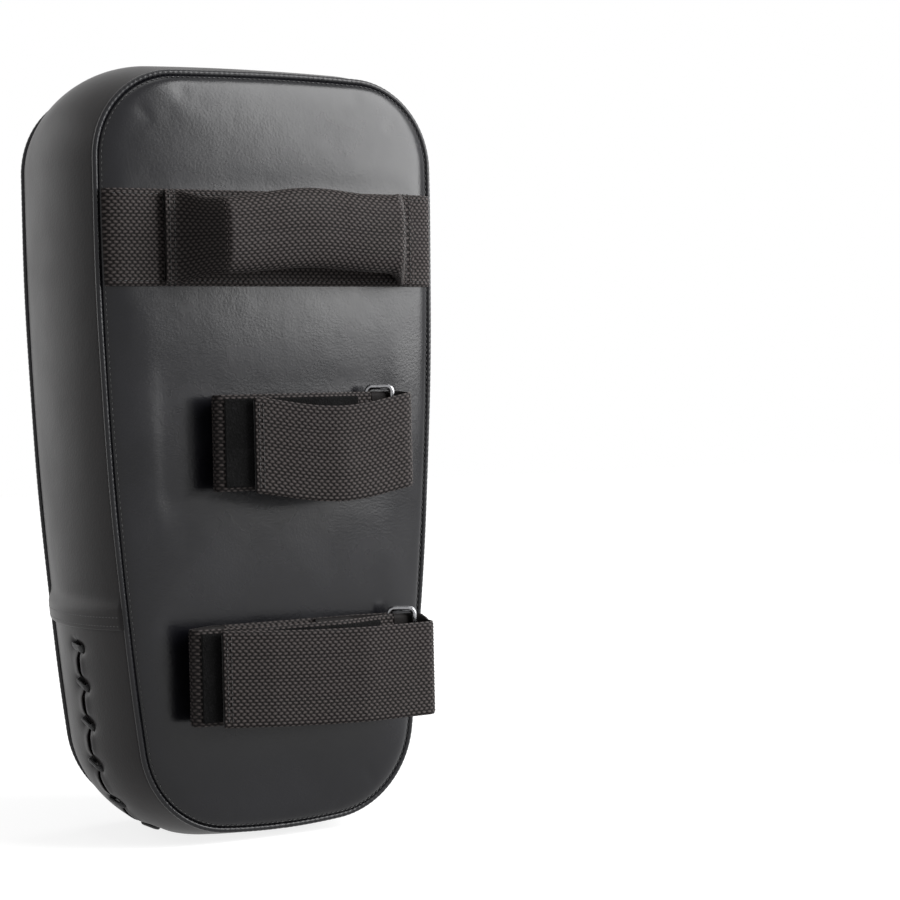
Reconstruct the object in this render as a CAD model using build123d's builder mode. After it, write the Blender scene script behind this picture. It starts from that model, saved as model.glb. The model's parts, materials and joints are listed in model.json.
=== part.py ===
"""Thai pad: a laced, foam-filled forearm pad with a grip handle and two hook-and-loop straps.

Millimetres, +Z up.  The pad stands on its bottom end, its striking face looks along -Y and
its strap side along +Y.  It is drawn about its middle plane, then moved so that the origin is
on the ground, on the flat of the heel just behind the lacing.
"""
import os
from math import asin, cos, floor, pi, sin

from build123d import *

os.makedirs("parts", exist_ok=True)

# ---------------------------------------------------------------- driving sizes: the body
SEAM_HEIGHT = 400.0  # top seam to bottom seam, in the middle
TOP_HALF_WIDTH = 99.6  # outline corners, before they are rounded
BOTTOM_HALF_WIDTH = 76.0
SIDE_BOW = 8.5  # how far the sides bulge past a straight line
TOP_BOW = 3.0  # how far the corners lie below the middle of the top edge
BOTTOM_BOW = 7.7  # how far the corners lie above the middle of the bottom edge
TOP_CORNER_R = 46.0
BOTTOM_CORNER_R = 51.0
SEAM_SPACING = 94.4  # front seam to back seam
EDGE_CROWN = 9.0  # how far the side strip bulges past the seams
BASE_FLAT = 2.5  # how far the crown is pressed flat where the pad stands
HEEL_SHIFT = 15.0  # the origin's place behind the middle plane
LEATHER = 1.2
FRONT_DEPTH = 8.0  # how far the striking face stands out from its seam
FRONT_BORDER_R = 7.0
BACK_DEPTH = 5.0
BACK_BORDER_R = 4.5
PIPING_R = 1.6
PIPING_PROUD = 0.3  # the piping's centre lies this far outside the seam line
SEAM_GAP = 0.05  # hair gap between sewn pieces
STRIKE_FOAM = 31.0  # thickness of the foam layers inside the seam planes
BACK_FOAM = 16.0
FOAM_GAP = 0.1

# ---------------------------------------------------------------- driving sizes: the lacing
HEM_HEIGHT = 117.0  # lower edge of the upper side strip
HEM_LAP = 11.0  # how far it laps over the boot strip
SLIT_DROP = 6.0  # the slit starts this far below the hem
SLIT_WIDTH = 3.0
LACE_D = 3.0
LACE_PITCH = 21.0
LACE_BEND_R = 2.8
LACE_HOLE_OFFSET = 4.5  # each hole's distance from the middle of the slit
LACE_SLANT = 1.5  # one end of a bar is higher than the other by twice this
LACE_FLOOR = 0.2  # the lace stays this far above the ground
HOLE_CLEARANCE = 0.7
TONGUE_HALF_WIDTH = 12.0
TONGUE_THICKNESS = 1.0
TONGUE_SPARE = 1.5  # room between the lace and the tongue

# ---------------------------------------------------------------- driving sizes: straps and handle
WEBBING_WIDTH = 50.0
WEBBING = 2.0
TAPE = 1.2  # hook tape and pile tape
TAPE_WIDTH = 46.0
SEWN = 0.02  # hair gap between sewn layers
HOOK_GAP = 0.45  # between the hook tape and the pile it closes on
CREASE_GAP = 0.5  # at the crease that the flap swings about
RING_WIRE = 3.0
RING_FOLD_GAP = 0.3  # between the ring's bar and the webbing folded round it
RING_PASS_GAP = 0.4  # between the ring and the webbing threaded through it
RING_SPAN = 13.5  # between the middles of the ring's two long bars
RING_ROOM = 2.0  # the ring's inside height less the webbing's width
RING_BEND_R = 3.0
RING_RISE = 6.4  # the sewn bar's middle, above the back panel
TURN_ROOM = 3.1  # slack between the ring and the webbing that turns round it
STRAPS = {  # top edge, then places across: turn at the free side, sewn ring bar, end of the flap
    "upper": {"top": 237.5, "turn": -44.5, "ring": 51.0, "flap_end": -27.5},
    "lower": {"top": 117.0, "turn": -61.0, "ring": 62.0, "flap_end": -49.0},
}
HANDLE_TOP = 344.5
GRIP_LEFT = -45.0
GRIP_RIGHT = 61.0
GRIP_HEIGHT = 42.0
GRIP_DEPTH = 18.0
GRIP_CENTRE = 24.0  # above the back panel
GRIP_MOUTH = 22.0  # the sleeve stays open this wide on its inner side
GRIP_END_GAP = 0.25
CORE_CLEARANCE = 0.3

# ---------------------------------------------------------------- driving sizes: printed marks
FILM = 0.4
BAND_CENTRE = 126.5
BAND_HEIGHT = 26.0
ROUNDEL_CENTRE = 306.5
ROUNDEL_R = 29.0
ROUNDEL_RING = 7.0
ROUNDEL_DOT_R = 10.0

# ---------------------------------------------------------------- sizes that follow
BOTTOM_SEAM = EDGE_CROWN - BASE_FLAT
TOP_SEAM = BOTTOM_SEAM + SEAM_HEIGHT
SEAM_Y = SEAM_SPACING / 2
STRIP_HALF = SEAM_Y - PIPING_R - SEAM_GAP  # half the width of the side strip
PANEL_Y = SEAM_Y + PIPING_R + SEAM_GAP  # where a panel's rim starts
BACK_FACE = PANEL_Y + BACK_DEPTH
FRONT_FACE = PANEL_Y + FRONT_DEPTH
CROWN_R = (STRIP_HALF**2 + EDGE_CROWN**2) / (2 * EDGE_CROWN)
LACE_R = LACE_D / 2
LACE_DIVE = 2.2 * LACE_BEND_R  # from a bar outside to the run inside
LACE_LIFT = LACE_R + SEAM_GAP
LACE_LOW = LACE_R + LACE_FLOOR
CHANNEL_TOP = LACE_LOW + LACE_LIFT  # the dip that keeps the lace off the ground
CHANNEL_HALF = 2 * LACE_HOLE_OFFSET
SLIT_TOP = HEM_HEIGHT - SLIT_DROP
TONGUE_DEPTH = LACE_DIVE - LACE_LIFT + LACE_R + TONGUE_SPARE
TONGUE_FLOOR = LACE_LOW + LACE_DIVE + LACE_R + TONGUE_SPARE
GROOVE_DEPTH = TONGUE_DEPTH + TONGUE_THICKNESS + FOAM_GAP
GROOVE_HALF = TONGUE_HALF_WIDTH + TONGUE_THICKNESS
RING_DEEP = 24.0  # how deep the stuffing's edge ring is, from the top of the crown
RING_OVERLAP = 2.0  # how far it runs into the stuffing's middle
BORDER_WIDTH = 14.0  # width of the swept border of a face
PAD_MIDDLE = Vector(0, 0, (BOTTOM_SEAM + TOP_SEAM) / 2)


def outline(plane, inset=0.0):
    """The pad's outline, four bowed edges with rounded corners, on a plane across Y."""
    low = BOTTOM_SEAM + BOTTOM_BOW
    high = TOP_SEAM - TOP_BOW
    side = ((TOP_HALF_WIDTH + BOTTOM_HALF_WIDTH) / 2 + SIDE_BOW, (low + high) / 2)
    with BuildSketch(plane) as shape:
        with BuildLine():
            ThreePointArc((-BOTTOM_HALF_WIDTH, low), (0, BOTTOM_SEAM), (BOTTOM_HALF_WIDTH, low))
            ThreePointArc((BOTTOM_HALF_WIDTH, low), side, (TOP_HALF_WIDTH, high))
            ThreePointArc((TOP_HALF_WIDTH, high), (0, TOP_SEAM), (-TOP_HALF_WIDTH, high))
            ThreePointArc((-TOP_HALF_WIDTH, high), (-side[0], side[1]), (-BOTTOM_HALF_WIDTH, low))
        make_face()
        fillet(shape.vertices().group_by(Axis.Y)[-1], TOP_CORNER_R)
        fillet(shape.vertices().group_by(Axis.Y)[0], BOTTOM_CORNER_R)
        if inset:
            offset(amount=-inset, mode=Mode.REPLACE)
    return shape.sketch


def across(side, distance):
    """A plane across Y, a distance from the middle, that looks out on side -1 or +1."""
    return Plane(origin=(0, side * distance, 0), x_dir=(-side, 0, 0), z_dir=(0, side, 0))


SEAM_LINE = outline(Plane.XZ).face().outer_wire()


def outward(line, share):
    """The direction out of the pad, square to a line in its middle plane."""
    normal = (line % share).cross(Vector(0, 1, 0))
    return normal if normal.dot((line @ share) - PAD_MIDDLE) > 0 else -normal


def edge_band(depth, thickness, half_width=STRIP_HALF):
    """A layer swept round the pad, at a depth under the crowned surface of its edge."""
    out = outward(SEAM_LINE, 0)
    with BuildPart() as band:
        with BuildSketch(Plane(origin=SEAM_LINE @ 0, x_dir=out, z_dir=out.cross(Vector(0, 1, 0)))):
            with Locations((EDGE_CROWN - CROWN_R, 0)):
                Circle(CROWN_R - depth)
                Circle(CROWN_R - depth - thickness, mode=Mode.SUBTRACT)
            Rectangle(3 * RING_DEEP, 2 * half_width, mode=Mode.INTERSECT)
        sweep(path=SEAM_LINE)
    return band.part


def keep_above(height):
    """Cut the open part off below a height."""
    split(bisect_by=Plane.XY.offset(height), keep=Keep.TOP)


def keep_below(height):
    """Cut the open part off above a height."""
    split(bisect_by=Plane.XY.offset(height), keep=Keep.BOTTOM)


def heel_dip(depth):
    """Cut the dip under the heel, along X, in which the lace stays off the ground."""
    height = CHANNEL_TOP + depth
    with Locations((0, 0, height / 2)):
        Box(2 * TOP_HALF_WIDTH, 2 * (CHANNEL_HALF + depth), height, mode=Mode.SUBTRACT)


def edge_mass(depth, deep=RING_DEEP):
    """The solid edge of the pad under a depth, pressed flat at the ground."""
    with BuildPart() as mass:
        add(edge_band(depth, deep - depth))
        keep_above(depth)
        heel_dip(depth)
    return mass.part


# ---------------------------------------------------------------- the laced seam
with BuildLine() as laced_end:
    add(SEAM_LINE)
    split(bisect_by=Plane.XY.offset(SLIT_TOP - LACE_HOLE_OFFSET), keep=Keep.BOTTOM)
LACED_RUN = Wire(laced_end.edges())
BARS = floor(LACED_RUN.length / LACE_PITCH) + 1
BAR_STEP = LACED_RUN.length / (BARS - 1)


def lace_point(distance, beside, sink):
    """A point of the lace, along the slit, beside it and under the bars, and the way out there."""
    share = min(max(distance / LACED_RUN.length, 0), 1)
    out = outward(LACED_RUN, share)
    bar = (LACED_RUN @ share) + out * (EDGE_CROWN + LACE_LIFT)
    return Vector(bar.X, beside, max(bar.Z, LACE_LOW)) - out * sink, out


def lace_route():
    """Whip lacing: a slanted bar over the slit, down a hole, along inside, up the next hole."""
    route = [lace_point(0, 2 * LACE_HOLE_OFFSET, LACE_DIVE)[0]]
    for bar in range(BARS):
        for end in (-1, 1):
            along = bar * BAR_STEP + end * LACE_SLANT
            hole = [lace_point(along, -end * LACE_HOLE_OFFSET, sink)[0] for sink in (LACE_DIVE, 0)]
            route += hole[::-end]
    route.append(lace_point(LACED_RUN.length, -2 * LACE_HOLE_OFFSET, LACE_DIVE)[0])
    return route


with BuildPart() as lace:
    with BuildLine() as lace_line:
        FilletPolyline(*lace_route(), radius=LACE_BEND_R)
    lace_path = Wire(lace_line.edges())
    with BuildSketch(Plane(origin=lace_path @ 0, z_dir=lace_path % 0)):
        Circle(LACE_R)
    sweep(path=lace_path)
print(f"lace: {BARS} bars, {lace_path.length:.1f} mm long, every bend {LACE_BEND_R} mm in radius")
print(f"lace: {lace.part.volume:.0f} mm3, section times length {pi * LACE_R**2 * lace_path.length:.0f}")

with BuildPart() as lace_holes:
    for bar in range(BARS):
        for end in (-1, 1):
            beside = -end * (LACE_HOLE_OFFSET - HOLE_CLEARANCE / 2)
            middle, out = lace_point(bar * BAR_STEP + end * LACE_SLANT, beside, LACE_DIVE / 2)
            with Locations(Plane(origin=middle, z_dir=out)):
                Cylinder(LACE_R + HOLE_CLEARANCE, LACE_DIVE)

with BuildPart() as lower_gusset:
    add(edge_mass(0, deep=RING_DEEP - LEATHER))
    add(edge_mass(LEATHER), mode=Mode.SUBTRACT)
    keep_below(HEM_HEIGHT + HEM_LAP)
    with Locations((0, 0, SLIT_TOP / 2)):
        Box(4 * TOP_HALF_WIDTH, SLIT_WIDTH, SLIT_TOP, mode=Mode.SUBTRACT)
    add(lace_holes.part, mode=Mode.SUBTRACT)

with BuildPart() as upper_gusset:
    add(edge_band(0, LEATHER))
    keep_above(HEM_HEIGHT + HEM_LAP + SEAM_GAP)
with BuildPart() as hem:
    add(edge_band(-LEATHER - SEAM_GAP, LEATHER))
    keep_above(HEM_HEIGHT)
    keep_below(HEM_HEIGHT + HEM_LAP + LEATHER)
with BuildPart() as hem_step:
    add(edge_band(-LEATHER - SEAM_GAP, 2 * LEATHER + SEAM_GAP))
    keep_above(HEM_HEIGHT + HEM_LAP + SEAM_GAP)
    keep_below(HEM_HEIGHT + HEM_LAP + LEATHER)
with upper_gusset:
    add(hem.part)
    add(hem_step.part)

with BuildPart() as tongue_inside:
    add(edge_band(TONGUE_DEPTH + TONGUE_THICKNESS, RING_DEEP - TONGUE_DEPTH, 2 * TONGUE_HALF_WIDTH))
    keep_above(TONGUE_FLOOR + TONGUE_THICKNESS)
with BuildPart() as lacing_tongue:
    add(edge_band(TONGUE_DEPTH, RING_DEEP - TONGUE_DEPTH, TONGUE_HALF_WIDTH))
    keep_above(TONGUE_FLOOR)
    add(tongue_inside.part, mode=Mode.SUBTRACT)
    keep_below(SLIT_TOP)

# ---------------------------------------------------------------- panels and piping


def border_profile(side, inset, start, end, border_r):
    """Section of a face's rounded border: x out of the pad, y away from its middle."""
    out = outward(SEAM_LINE, 0)
    with BuildSketch(Plane(SEAM_LINE @ 0, out, out.cross(Vector(0, side, 0)))) as section:
        with Locations((-inset, end)):
            Rectangle(BORDER_WIDTH, end - start, align=(Align.MAX, Align.MAX))
        fillet(section.vertices().group_by(Axis.X)[-1].sort_by(Axis.Y)[-1], border_r)
    return section.sketch


def panel(side, depth, border_r):
    """A leather face: a flat sheet whose border is turned down to the seam."""
    face = PANEL_Y + depth
    outer = border_profile(side, 0, PANEL_Y, face, border_r)
    inner = border_profile(side, LEATHER, PANEL_Y - LEATHER, face - LEATHER, border_r - LEATHER)
    with BuildPart() as tray:
        sweep(outer - inner, path=SEAM_LINE)
        extrude(outline(across(side, face - LEATHER), BORDER_WIDTH - LEATHER), amount=LEATHER)
    return tray.part


def piping(side):
    """The welt sewn into a seam all round."""
    seam = outline(across(side, SEAM_Y), -PIPING_PROUD).face().outer_wire()
    with BuildPart() as welt:
        with BuildSketch(Plane(origin=seam @ 0, z_dir=seam % 0)):
            Circle(PIPING_R)
        sweep(path=seam)
    return welt.part


front_panel = panel(-1, FRONT_DEPTH, FRONT_BORDER_R)
back_panel = panel(1, BACK_DEPTH, BACK_BORDER_R)
front_piping = piping(-1)
back_piping = piping(1)

# ---------------------------------------------------------------- stuffing
FOAM_INSET = LEATHER + FOAM_GAP

with BuildPart() as groove:
    add(edge_band(-LEATHER, GROOVE_DEPTH + LEATHER, GROOVE_HALF))
    keep_below(SLIT_TOP + FOAM_GAP)
    with Locations((0, 0, (TONGUE_FLOOR + TONGUE_THICKNESS + FOAM_GAP) / 2)):
        Box(2 * TOP_HALF_WIDTH, 2 * GROOVE_HALF, TONGUE_FLOOR + TONGUE_THICKNESS + FOAM_GAP)

with BuildPart() as stuffing:
    add(edge_mass(FOAM_INSET))
    for side, depth, border_r in ((-1, FRONT_DEPTH, FRONT_BORDER_R), (1, BACK_DEPTH, BACK_BORDER_R)):
        face = PANEL_Y + depth - FOAM_INSET
        rim = border_profile(side, PIPING_R, STRIP_HALF - RING_OVERLAP, face, border_r - LEATHER)
        sweep(rim, path=SEAM_LINE)
        extrude(outline(across(side, 0), RING_DEEP - EDGE_CROWN - RING_OVERLAP), amount=face)
    add(groove.part, mode=Mode.SUBTRACT)

STRIKE_CUT = -SEAM_Y + STRIKE_FOAM
BACK_CUT = SEAM_Y - BACK_FOAM
with BuildPart() as strike_foam:
    add(stuffing.part)
    split(bisect_by=Plane.XZ.offset(-STRIKE_CUT), keep=Keep.TOP)
with BuildPart() as core_foam:
    add(stuffing.part)
    split(bisect_by=Plane.XZ.offset(-STRIKE_CUT - FOAM_GAP), keep=Keep.BOTTOM)
    split(bisect_by=Plane.XZ.offset(-BACK_CUT), keep=Keep.TOP)
with BuildPart() as back_foam:
    add(stuffing.part)
    split(bisect_by=Plane.XZ.offset(-BACK_CUT - FOAM_GAP), keep=Keep.BOTTOM)

# ---------------------------------------------------------------- printed marks
with BuildPart() as front_band:
    with BuildSketch(across(-1, FRONT_FACE)):
        add(outline(across(-1, FRONT_FACE), FRONT_BORDER_R + LEATHER))
        with Locations((0, BAND_CENTRE)):
            Rectangle(4 * TOP_HALF_WIDTH, BAND_HEIGHT, mode=Mode.INTERSECT)
    extrude(amount=FILM)

with BuildPart() as front_roundel:
    with BuildSketch(across(-1, FRONT_FACE)):
        with Locations((0, ROUNDEL_CENTRE)):
            Circle(ROUNDEL_R)
            Circle(ROUNDEL_R - ROUNDEL_RING, mode=Mode.SUBTRACT)
            Circle(ROUNDEL_DOT_R)
    extrude(amount=FILM)

# ---------------------------------------------------------------- webbing, in plan
# A strap is drawn in plan: x runs across the back from its free side to its ring, y off the panel.


def parallel(route, distance):
    """A route moved sideways, to the left of the way it runs."""
    points = [Vector(*point) for point in route]
    ways = [(after - before).normalized() for before, after in zip(points, points[1:])]
    lefts = [Vector(-way.Y, way.X) for way in ways]
    moved = [points[0] + lefts[0] * distance]
    for corner, before, after in zip(points[1:], lefts, lefts[1:]):
        mitre = before + after
        moved.append(corner + mitre * (distance * 2 / mitre.dot(mitre)))
    moved.append(points[-1] + lefts[-1] * distance)
    return [(point.X, point.Y) for point in moved]


def ribbon(route, radii, top, thickness=WEBBING, width=WEBBING_WIDTH):
    """A flat strip that follows a route in plan, with one bend radius for each corner."""
    with BuildPart() as strip:
        with BuildSketch(Plane(origin=(0, BACK_FACE, top), x_dir=(-1, 0, 0), z_dir=(0, 0, -1))):
            with BuildLine() as middle:
                FilletPolyline(*route, radius=radii)
            trace(middle.edges(), line_width=thickness)
        extrude(amount=width)
    return strip.part


FOLD_R = RING_WIRE / 2 + RING_FOLD_GAP + WEBBING / 2
PASS_RISE = RING_RISE + FOLD_R + WEBBING + RING_PASS_GAP  # the webbing's middle inside the ring
BAR_RISE = PASS_RISE + WEBBING / 2 + RING_PASS_GAP + RING_WIRE / 2  # the ring's outer bar
RING_TILT = asin((BAR_RISE - RING_RISE) / RING_SPAN)
TURN_REACH = RING_SPAN * cos(RING_TILT) + RING_WIRE / 2 + TURN_ROOM + WEBBING / 2
STRAP_SEAM = 24.5  # the loop is sewn to the base this far from the fold at the free side
FOLD_FOOT = 17.5  # and lifts off the panel this far from it
LOOP_LOW = 9.4  # the loop's fold at the free side, lower and upper corner above the panel
LOOP_HIGH = LOOP_LOW + 3 * WEBBING
LOOP_CREST = 21.0  # the loop's middle, above the panel, before the ring
LOOP_RISE = LOOP_CREST - 0.6  # and nearer the fold
RISE_END = 34.5  # from the fold to the nearer end of the crest
CREST_END = 37.0  # from the further end of the crest to the ring
PASS_START = 7.0  # the webbing is level again this far before the ring
RISE_BEND_R = 60.0
CREST_BEND_R = 40.0
PASS_BEND_R = 18.0
BASE_END = 17.0  # the base lifts off the panel this far before the ring
BASE_BEND_R = 20.0
LAP_START = 22.0  # the end folded round the ring is sewn to the base from here, before the ring
LAP_END = 45.0
LAP_GAP = 0.15
LAP_BEND_R = 12.0
FLAP_CREST = 30.2
FLAP_START = 28.6
FLAP_LEVEL = 29.0  # from the flap's crest to the ring
FLAP_PRESS = 6.0  # the flap lies on its pile this far past the loop's corner
CREASE_BACK = 2.0  # from the crease to the ring
PILE_SHARE = 0.85  # the pile reaches this far down the run to the ring
TURN_TOP = 27.6
FOLD_OVER = 3 * WEBBING + TAPE  # bend radius of the turn outside the ring
LAYERS = WEBBING + 2 * (SEWN + TAPE) + HOOK_GAP  # from the loop's middle to the flap's middle
TAPE_OFF = (WEBBING + TAPE) / 2 + SEWN


def strap_base(place):
    """Webbing sewn flat on the back panel, its end folded round the ring's bar and sewn down."""
    ring = place["ring"]
    lap = WEBBING * 1.5 + LAP_GAP
    route = [
        (place["turn"] + STRAP_SEAM, WEBBING / 2),
        (ring - BASE_END, WEBBING / 2),
        (ring + FOLD_R, RING_RISE - FOLD_R),
        (ring + FOLD_R, RING_RISE + 1.3 * FOLD_R),
        (ring - LAP_START, lap),
        (ring - LAP_END, lap),
    ]
    return ribbon(route, [BASE_BEND_R, FOLD_R, FOLD_R, LAP_BEND_R], place["top"])


def standing_corners(place):
    """The corners of the strap's standing run, from the fold at the free side to the ring."""
    turn, ring = place["turn"], place["ring"]
    crest = [(turn + RISE_END, LOOP_RISE), (ring - CREST_END, LOOP_CREST)]
    return [(turn, LOOP_HIGH), *crest, (ring - PASS_START, PASS_RISE)]


def strap_loop(place):
    """The same webbing turned up at the free side, led through the ring and round its bar."""
    turn, ring = place["turn"], place["ring"]
    far = ring + TURN_REACH
    crease = ring - CREASE_BACK + CREASE_GAP / 2
    route = [(turn + STRAP_SEAM, WEBBING / 2), (turn + FOLD_FOOT, WEBBING / 2), (turn, LOOP_LOW)]
    route += standing_corners(place)
    route += [(far, PASS_RISE), (far, TURN_TOP), (crease, FLAP_START)]
    fold = 1.4 * WEBBING
    bends = [LAP_BEND_R, fold, fold, RISE_BEND_R, CREST_BEND_R, PASS_BEND_R, FOLD_OVER, FOLD_OVER]
    return ribbon(route, bends, place["top"])


def flap_route(place):
    """The free end: from the crease beside the ring, back over the loop, down onto its pile."""
    start, rise = [Vector(*corner) for corner in standing_corners(place)[:2]]
    way = (rise - start).normalized()
    lift = Vector(-way.Y, way.X) * LAYERS
    pressed = rise + lift + way * FLAP_PRESS
    end = start + lift + way * ((place["flap_end"] - start.X - lift.X) / way.X)
    crease = (place["ring"] - CREASE_BACK - CREASE_GAP / 2, FLAP_START)
    level = (place["ring"] - FLAP_LEVEL, FLAP_CREST)
    return [crease, level, (pressed.X, pressed.Y), (end.X, end.Y)]


def flap(place):
    """The free end of the strap."""
    return ribbon(flap_route(place), [RISE_BEND_R, CREST_BEND_R], place["top"])


def pile_tape(place):
    """Pile sewn on the outer face of the loop."""
    route = standing_corners(place)
    first, second = Vector(*route[0]), Vector(*route[1])
    third, last = Vector(*route[2]), Vector(*route[3])
    start = first + (second - first).normalized() * 1.5 * WEBBING
    end = third + (last - third) * PILE_SHARE
    route = parallel([(start.X, start.Y), route[1], route[2], (end.X, end.Y)], TAPE_OFF)
    top = place["top"] - (WEBBING_WIDTH - TAPE_WIDTH) / 2
    bends = [RISE_BEND_R + TAPE_OFF, CREST_BEND_R + TAPE_OFF]
    return ribbon(route, bends, top, TAPE, TAPE_WIDTH)


def hook_tape(place):
    """Hooks sewn on the inner face of the flap."""
    route = parallel(flap_route(place), TAPE_OFF)
    top = place["top"] - (WEBBING_WIDTH - TAPE_WIDTH) / 2
    bends = [RISE_BEND_R - TAPE_OFF, CREST_BEND_R + TAPE_OFF]
    return ribbon(route, bends, top, TAPE, TAPE_WIDTH)


def wire_ring(place):
    """A rectangular wire ring, held by the fold at one long bar."""
    middle = place["top"] - WEBBING_WIDTH / 2
    across_ring = (-cos(RING_TILT), sin(RING_TILT), 0)
    flat = Plane(
        origin=(-place["ring"], BACK_FACE + RING_RISE, middle),
        x_dir=across_ring,
        z_dir=Vector(*across_ring).cross(Vector(0, 0, 1)),
    )
    with BuildSketch(flat) as frame:
        with Locations((RING_SPAN / 2, 0)):
            RectangleRounded(RING_SPAN, WEBBING_WIDTH + RING_ROOM + RING_WIRE, RING_BEND_R)
    wire = frame.sketch.face().outer_wire()
    with BuildPart() as body:
        with BuildSketch(Plane(origin=wire @ 0, z_dir=wire % 0)):
            Circle(RING_WIRE / 2)
        sweep(path=wire)
    return body.part


# ---------------------------------------------------------------- handle
HANDLE_MIDDLE = HANDLE_TOP - WEBBING_WIDTH / 2
GRIP_LENGTH = GRIP_RIGHT - GRIP_LEFT
GRIP_OUTER = GRIP_CENTRE + GRIP_DEPTH / 2 - WEBBING / 2  # middle of the webbing on the grip
END_FOOT = 1.5 * WEBBING + SEWN  # middle of the webbing where it is sewn on the base strip
END_REACH = 22.0  # from the grip to the tip of a sewn end
END_SEAM = 15.0  # and to the seam where it lifts off
END_SHOULDER = 5.5  # and to the shoulder where it meets the grip
STRIP_SIDE = 5.0  # the base strip ends this far inside the outline's widest corner

with BuildPart() as handle_base_strip:
    with Locations((0, BACK_FACE + WEBBING / 2, HANDLE_MIDDLE)):
        Box(2 * (TOP_HALF_WIDTH - STRIP_SIDE), WEBBING, WEBBING_WIDTH)


def handle_end(grip_end, way):
    """Webbing that climbs from the base strip to the grip; way is +1 towards the ring side."""
    route = [
        (grip_end + way * END_REACH, END_FOOT),
        (grip_end + way * END_SEAM, END_FOOT),
        (grip_end + way * END_SHOULDER, GRIP_OUTER),
        (grip_end + way * GRIP_END_GAP, GRIP_OUTER),
    ]
    top = HANDLE_MIDDLE + GRIP_HEIGHT / 2
    return ribbon(route, [2 * WEBBING, 2 * WEBBING], top, WEBBING, GRIP_HEIGHT)


def grip_section(inset):
    """The grip's section, drawn square to X at the grip's ring-side end."""
    end = Plane(
        origin=(-GRIP_RIGHT, BACK_FACE + GRIP_CENTRE, HANDLE_MIDDLE), x_dir=(0, 1, 0), z_dir=(1, 0, 0)
    )
    with BuildSketch(end) as section:
        RectangleRounded(
            GRIP_DEPTH - 2 * inset, GRIP_HEIGHT - 2 * inset, GRIP_DEPTH / 2 - inset - SEAM_GAP
        )
    return section.sketch


with BuildPart() as handle_sleeve:
    extrude(grip_section(0), amount=GRIP_LENGTH)
    extrude(grip_section(WEBBING), amount=GRIP_LENGTH, mode=Mode.SUBTRACT)
    with Locations((-GRIP_RIGHT, BACK_FACE + GRIP_CENTRE - GRIP_DEPTH / 2, HANDLE_MIDDLE)):
        Box(3 * GRIP_LENGTH, GRIP_DEPTH / 2, GRIP_MOUTH, mode=Mode.SUBTRACT)

with BuildPart() as handle_core:
    extrude(grip_section(WEBBING + CORE_CLEARANCE), amount=GRIP_LENGTH)

# ---------------------------------------------------------------- write every piece
PIECES = {
    "front_panel": front_panel,
    "back_panel": back_panel,
    "upper_gusset": upper_gusset.part,
    "lower_gusset": lower_gusset.part,
    "front_piping": front_piping,
    "back_piping": back_piping,
    "lacing_tongue": lacing_tongue.part,
    "lace": lace.part,
    "strike_foam": strike_foam.part,
    "core_foam": core_foam.part,
    "back_foam": back_foam.part,
    "front_band": front_band.part,
    "front_roundel": front_roundel.part,
    "handle_base_strip": handle_base_strip.part,
    "handle_left_end": handle_end(GRIP_LEFT, -1),
    "handle_right_end": handle_end(GRIP_RIGHT, 1),
    "handle_sleeve": handle_sleeve.part,
    "handle_core": handle_core.part,
}
for strap, place in STRAPS.items():
    PIECES[f"{strap}_strap_base"] = strap_base(place)
    PIECES[f"{strap}_strap_loop"] = strap_loop(place)
    PIECES[f"{strap}_pile_tape"] = pile_tape(place)
    PIECES[f"{strap}_ring"] = wire_ring(place)
    PIECES[f"{strap}_flap"] = flap(place)
    PIECES[f"{strap}_hook_tape"] = hook_tape(place)

for name, piece in PIECES.items():
    placed = Pos(0, -HEEL_SHIFT, 0) * piece
    placed.label = name
    export_step(placed, f"parts/{name}.step")
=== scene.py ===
# %% [markdown]
# # A thai pad, from the cover to the last stitch
# A thai pad is a firm foam block in a tight artificial leather cover, worn on the forearm. The
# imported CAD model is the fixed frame: every piece made here takes its place from it. Lengths in
# this file are millimetres, because a pad maker thinks in them; `build` turns them into metres.

# %% The frame
import json

import bpy
import numpy as np
from mathutils import Matrix, Vector
from mathutils.bvhtree import BVHTree


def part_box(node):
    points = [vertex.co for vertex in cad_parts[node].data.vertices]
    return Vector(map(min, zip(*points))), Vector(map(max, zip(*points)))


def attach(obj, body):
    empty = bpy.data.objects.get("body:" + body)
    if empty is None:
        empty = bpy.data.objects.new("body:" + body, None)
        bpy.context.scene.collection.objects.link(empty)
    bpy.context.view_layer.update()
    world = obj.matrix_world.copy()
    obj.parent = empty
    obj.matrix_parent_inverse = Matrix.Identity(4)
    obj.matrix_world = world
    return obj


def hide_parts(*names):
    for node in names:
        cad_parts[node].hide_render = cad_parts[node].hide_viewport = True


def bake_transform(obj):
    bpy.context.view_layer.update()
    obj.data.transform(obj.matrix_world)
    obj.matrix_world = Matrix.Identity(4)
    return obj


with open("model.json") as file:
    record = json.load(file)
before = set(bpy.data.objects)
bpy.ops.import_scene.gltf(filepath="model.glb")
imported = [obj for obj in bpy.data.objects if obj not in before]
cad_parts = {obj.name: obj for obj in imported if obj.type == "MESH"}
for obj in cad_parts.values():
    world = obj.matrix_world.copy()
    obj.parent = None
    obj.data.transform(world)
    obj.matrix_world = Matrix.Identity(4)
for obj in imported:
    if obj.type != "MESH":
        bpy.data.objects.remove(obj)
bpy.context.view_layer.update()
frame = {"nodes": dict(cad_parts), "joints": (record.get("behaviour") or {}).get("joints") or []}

MM = 0.001


def corners(node):
    """The lowest and the highest corner of a CAD node, in millimetres."""
    low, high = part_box(node)
    return np.array(low) / MM, np.array(high) / MM


# %% [markdown]
# ## The camera
# A long lens from behind the strap side, almost level, turned 28 degrees off the panel. The lens
# is shifted sideways, as a view camera is, so that the pad stands left of the middle.

# %% Camera
MIDDLE = np.array([0.0, -15.0, 206.5])
AZIMUTH, ELEVATION, ROLL = np.radians([152.07, 1.41, -1.36])
DISTANCE = 1226.3
LENS, SHIFT_X, SHIFT_Y = 88.73, 0.2418, 0.0011

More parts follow.
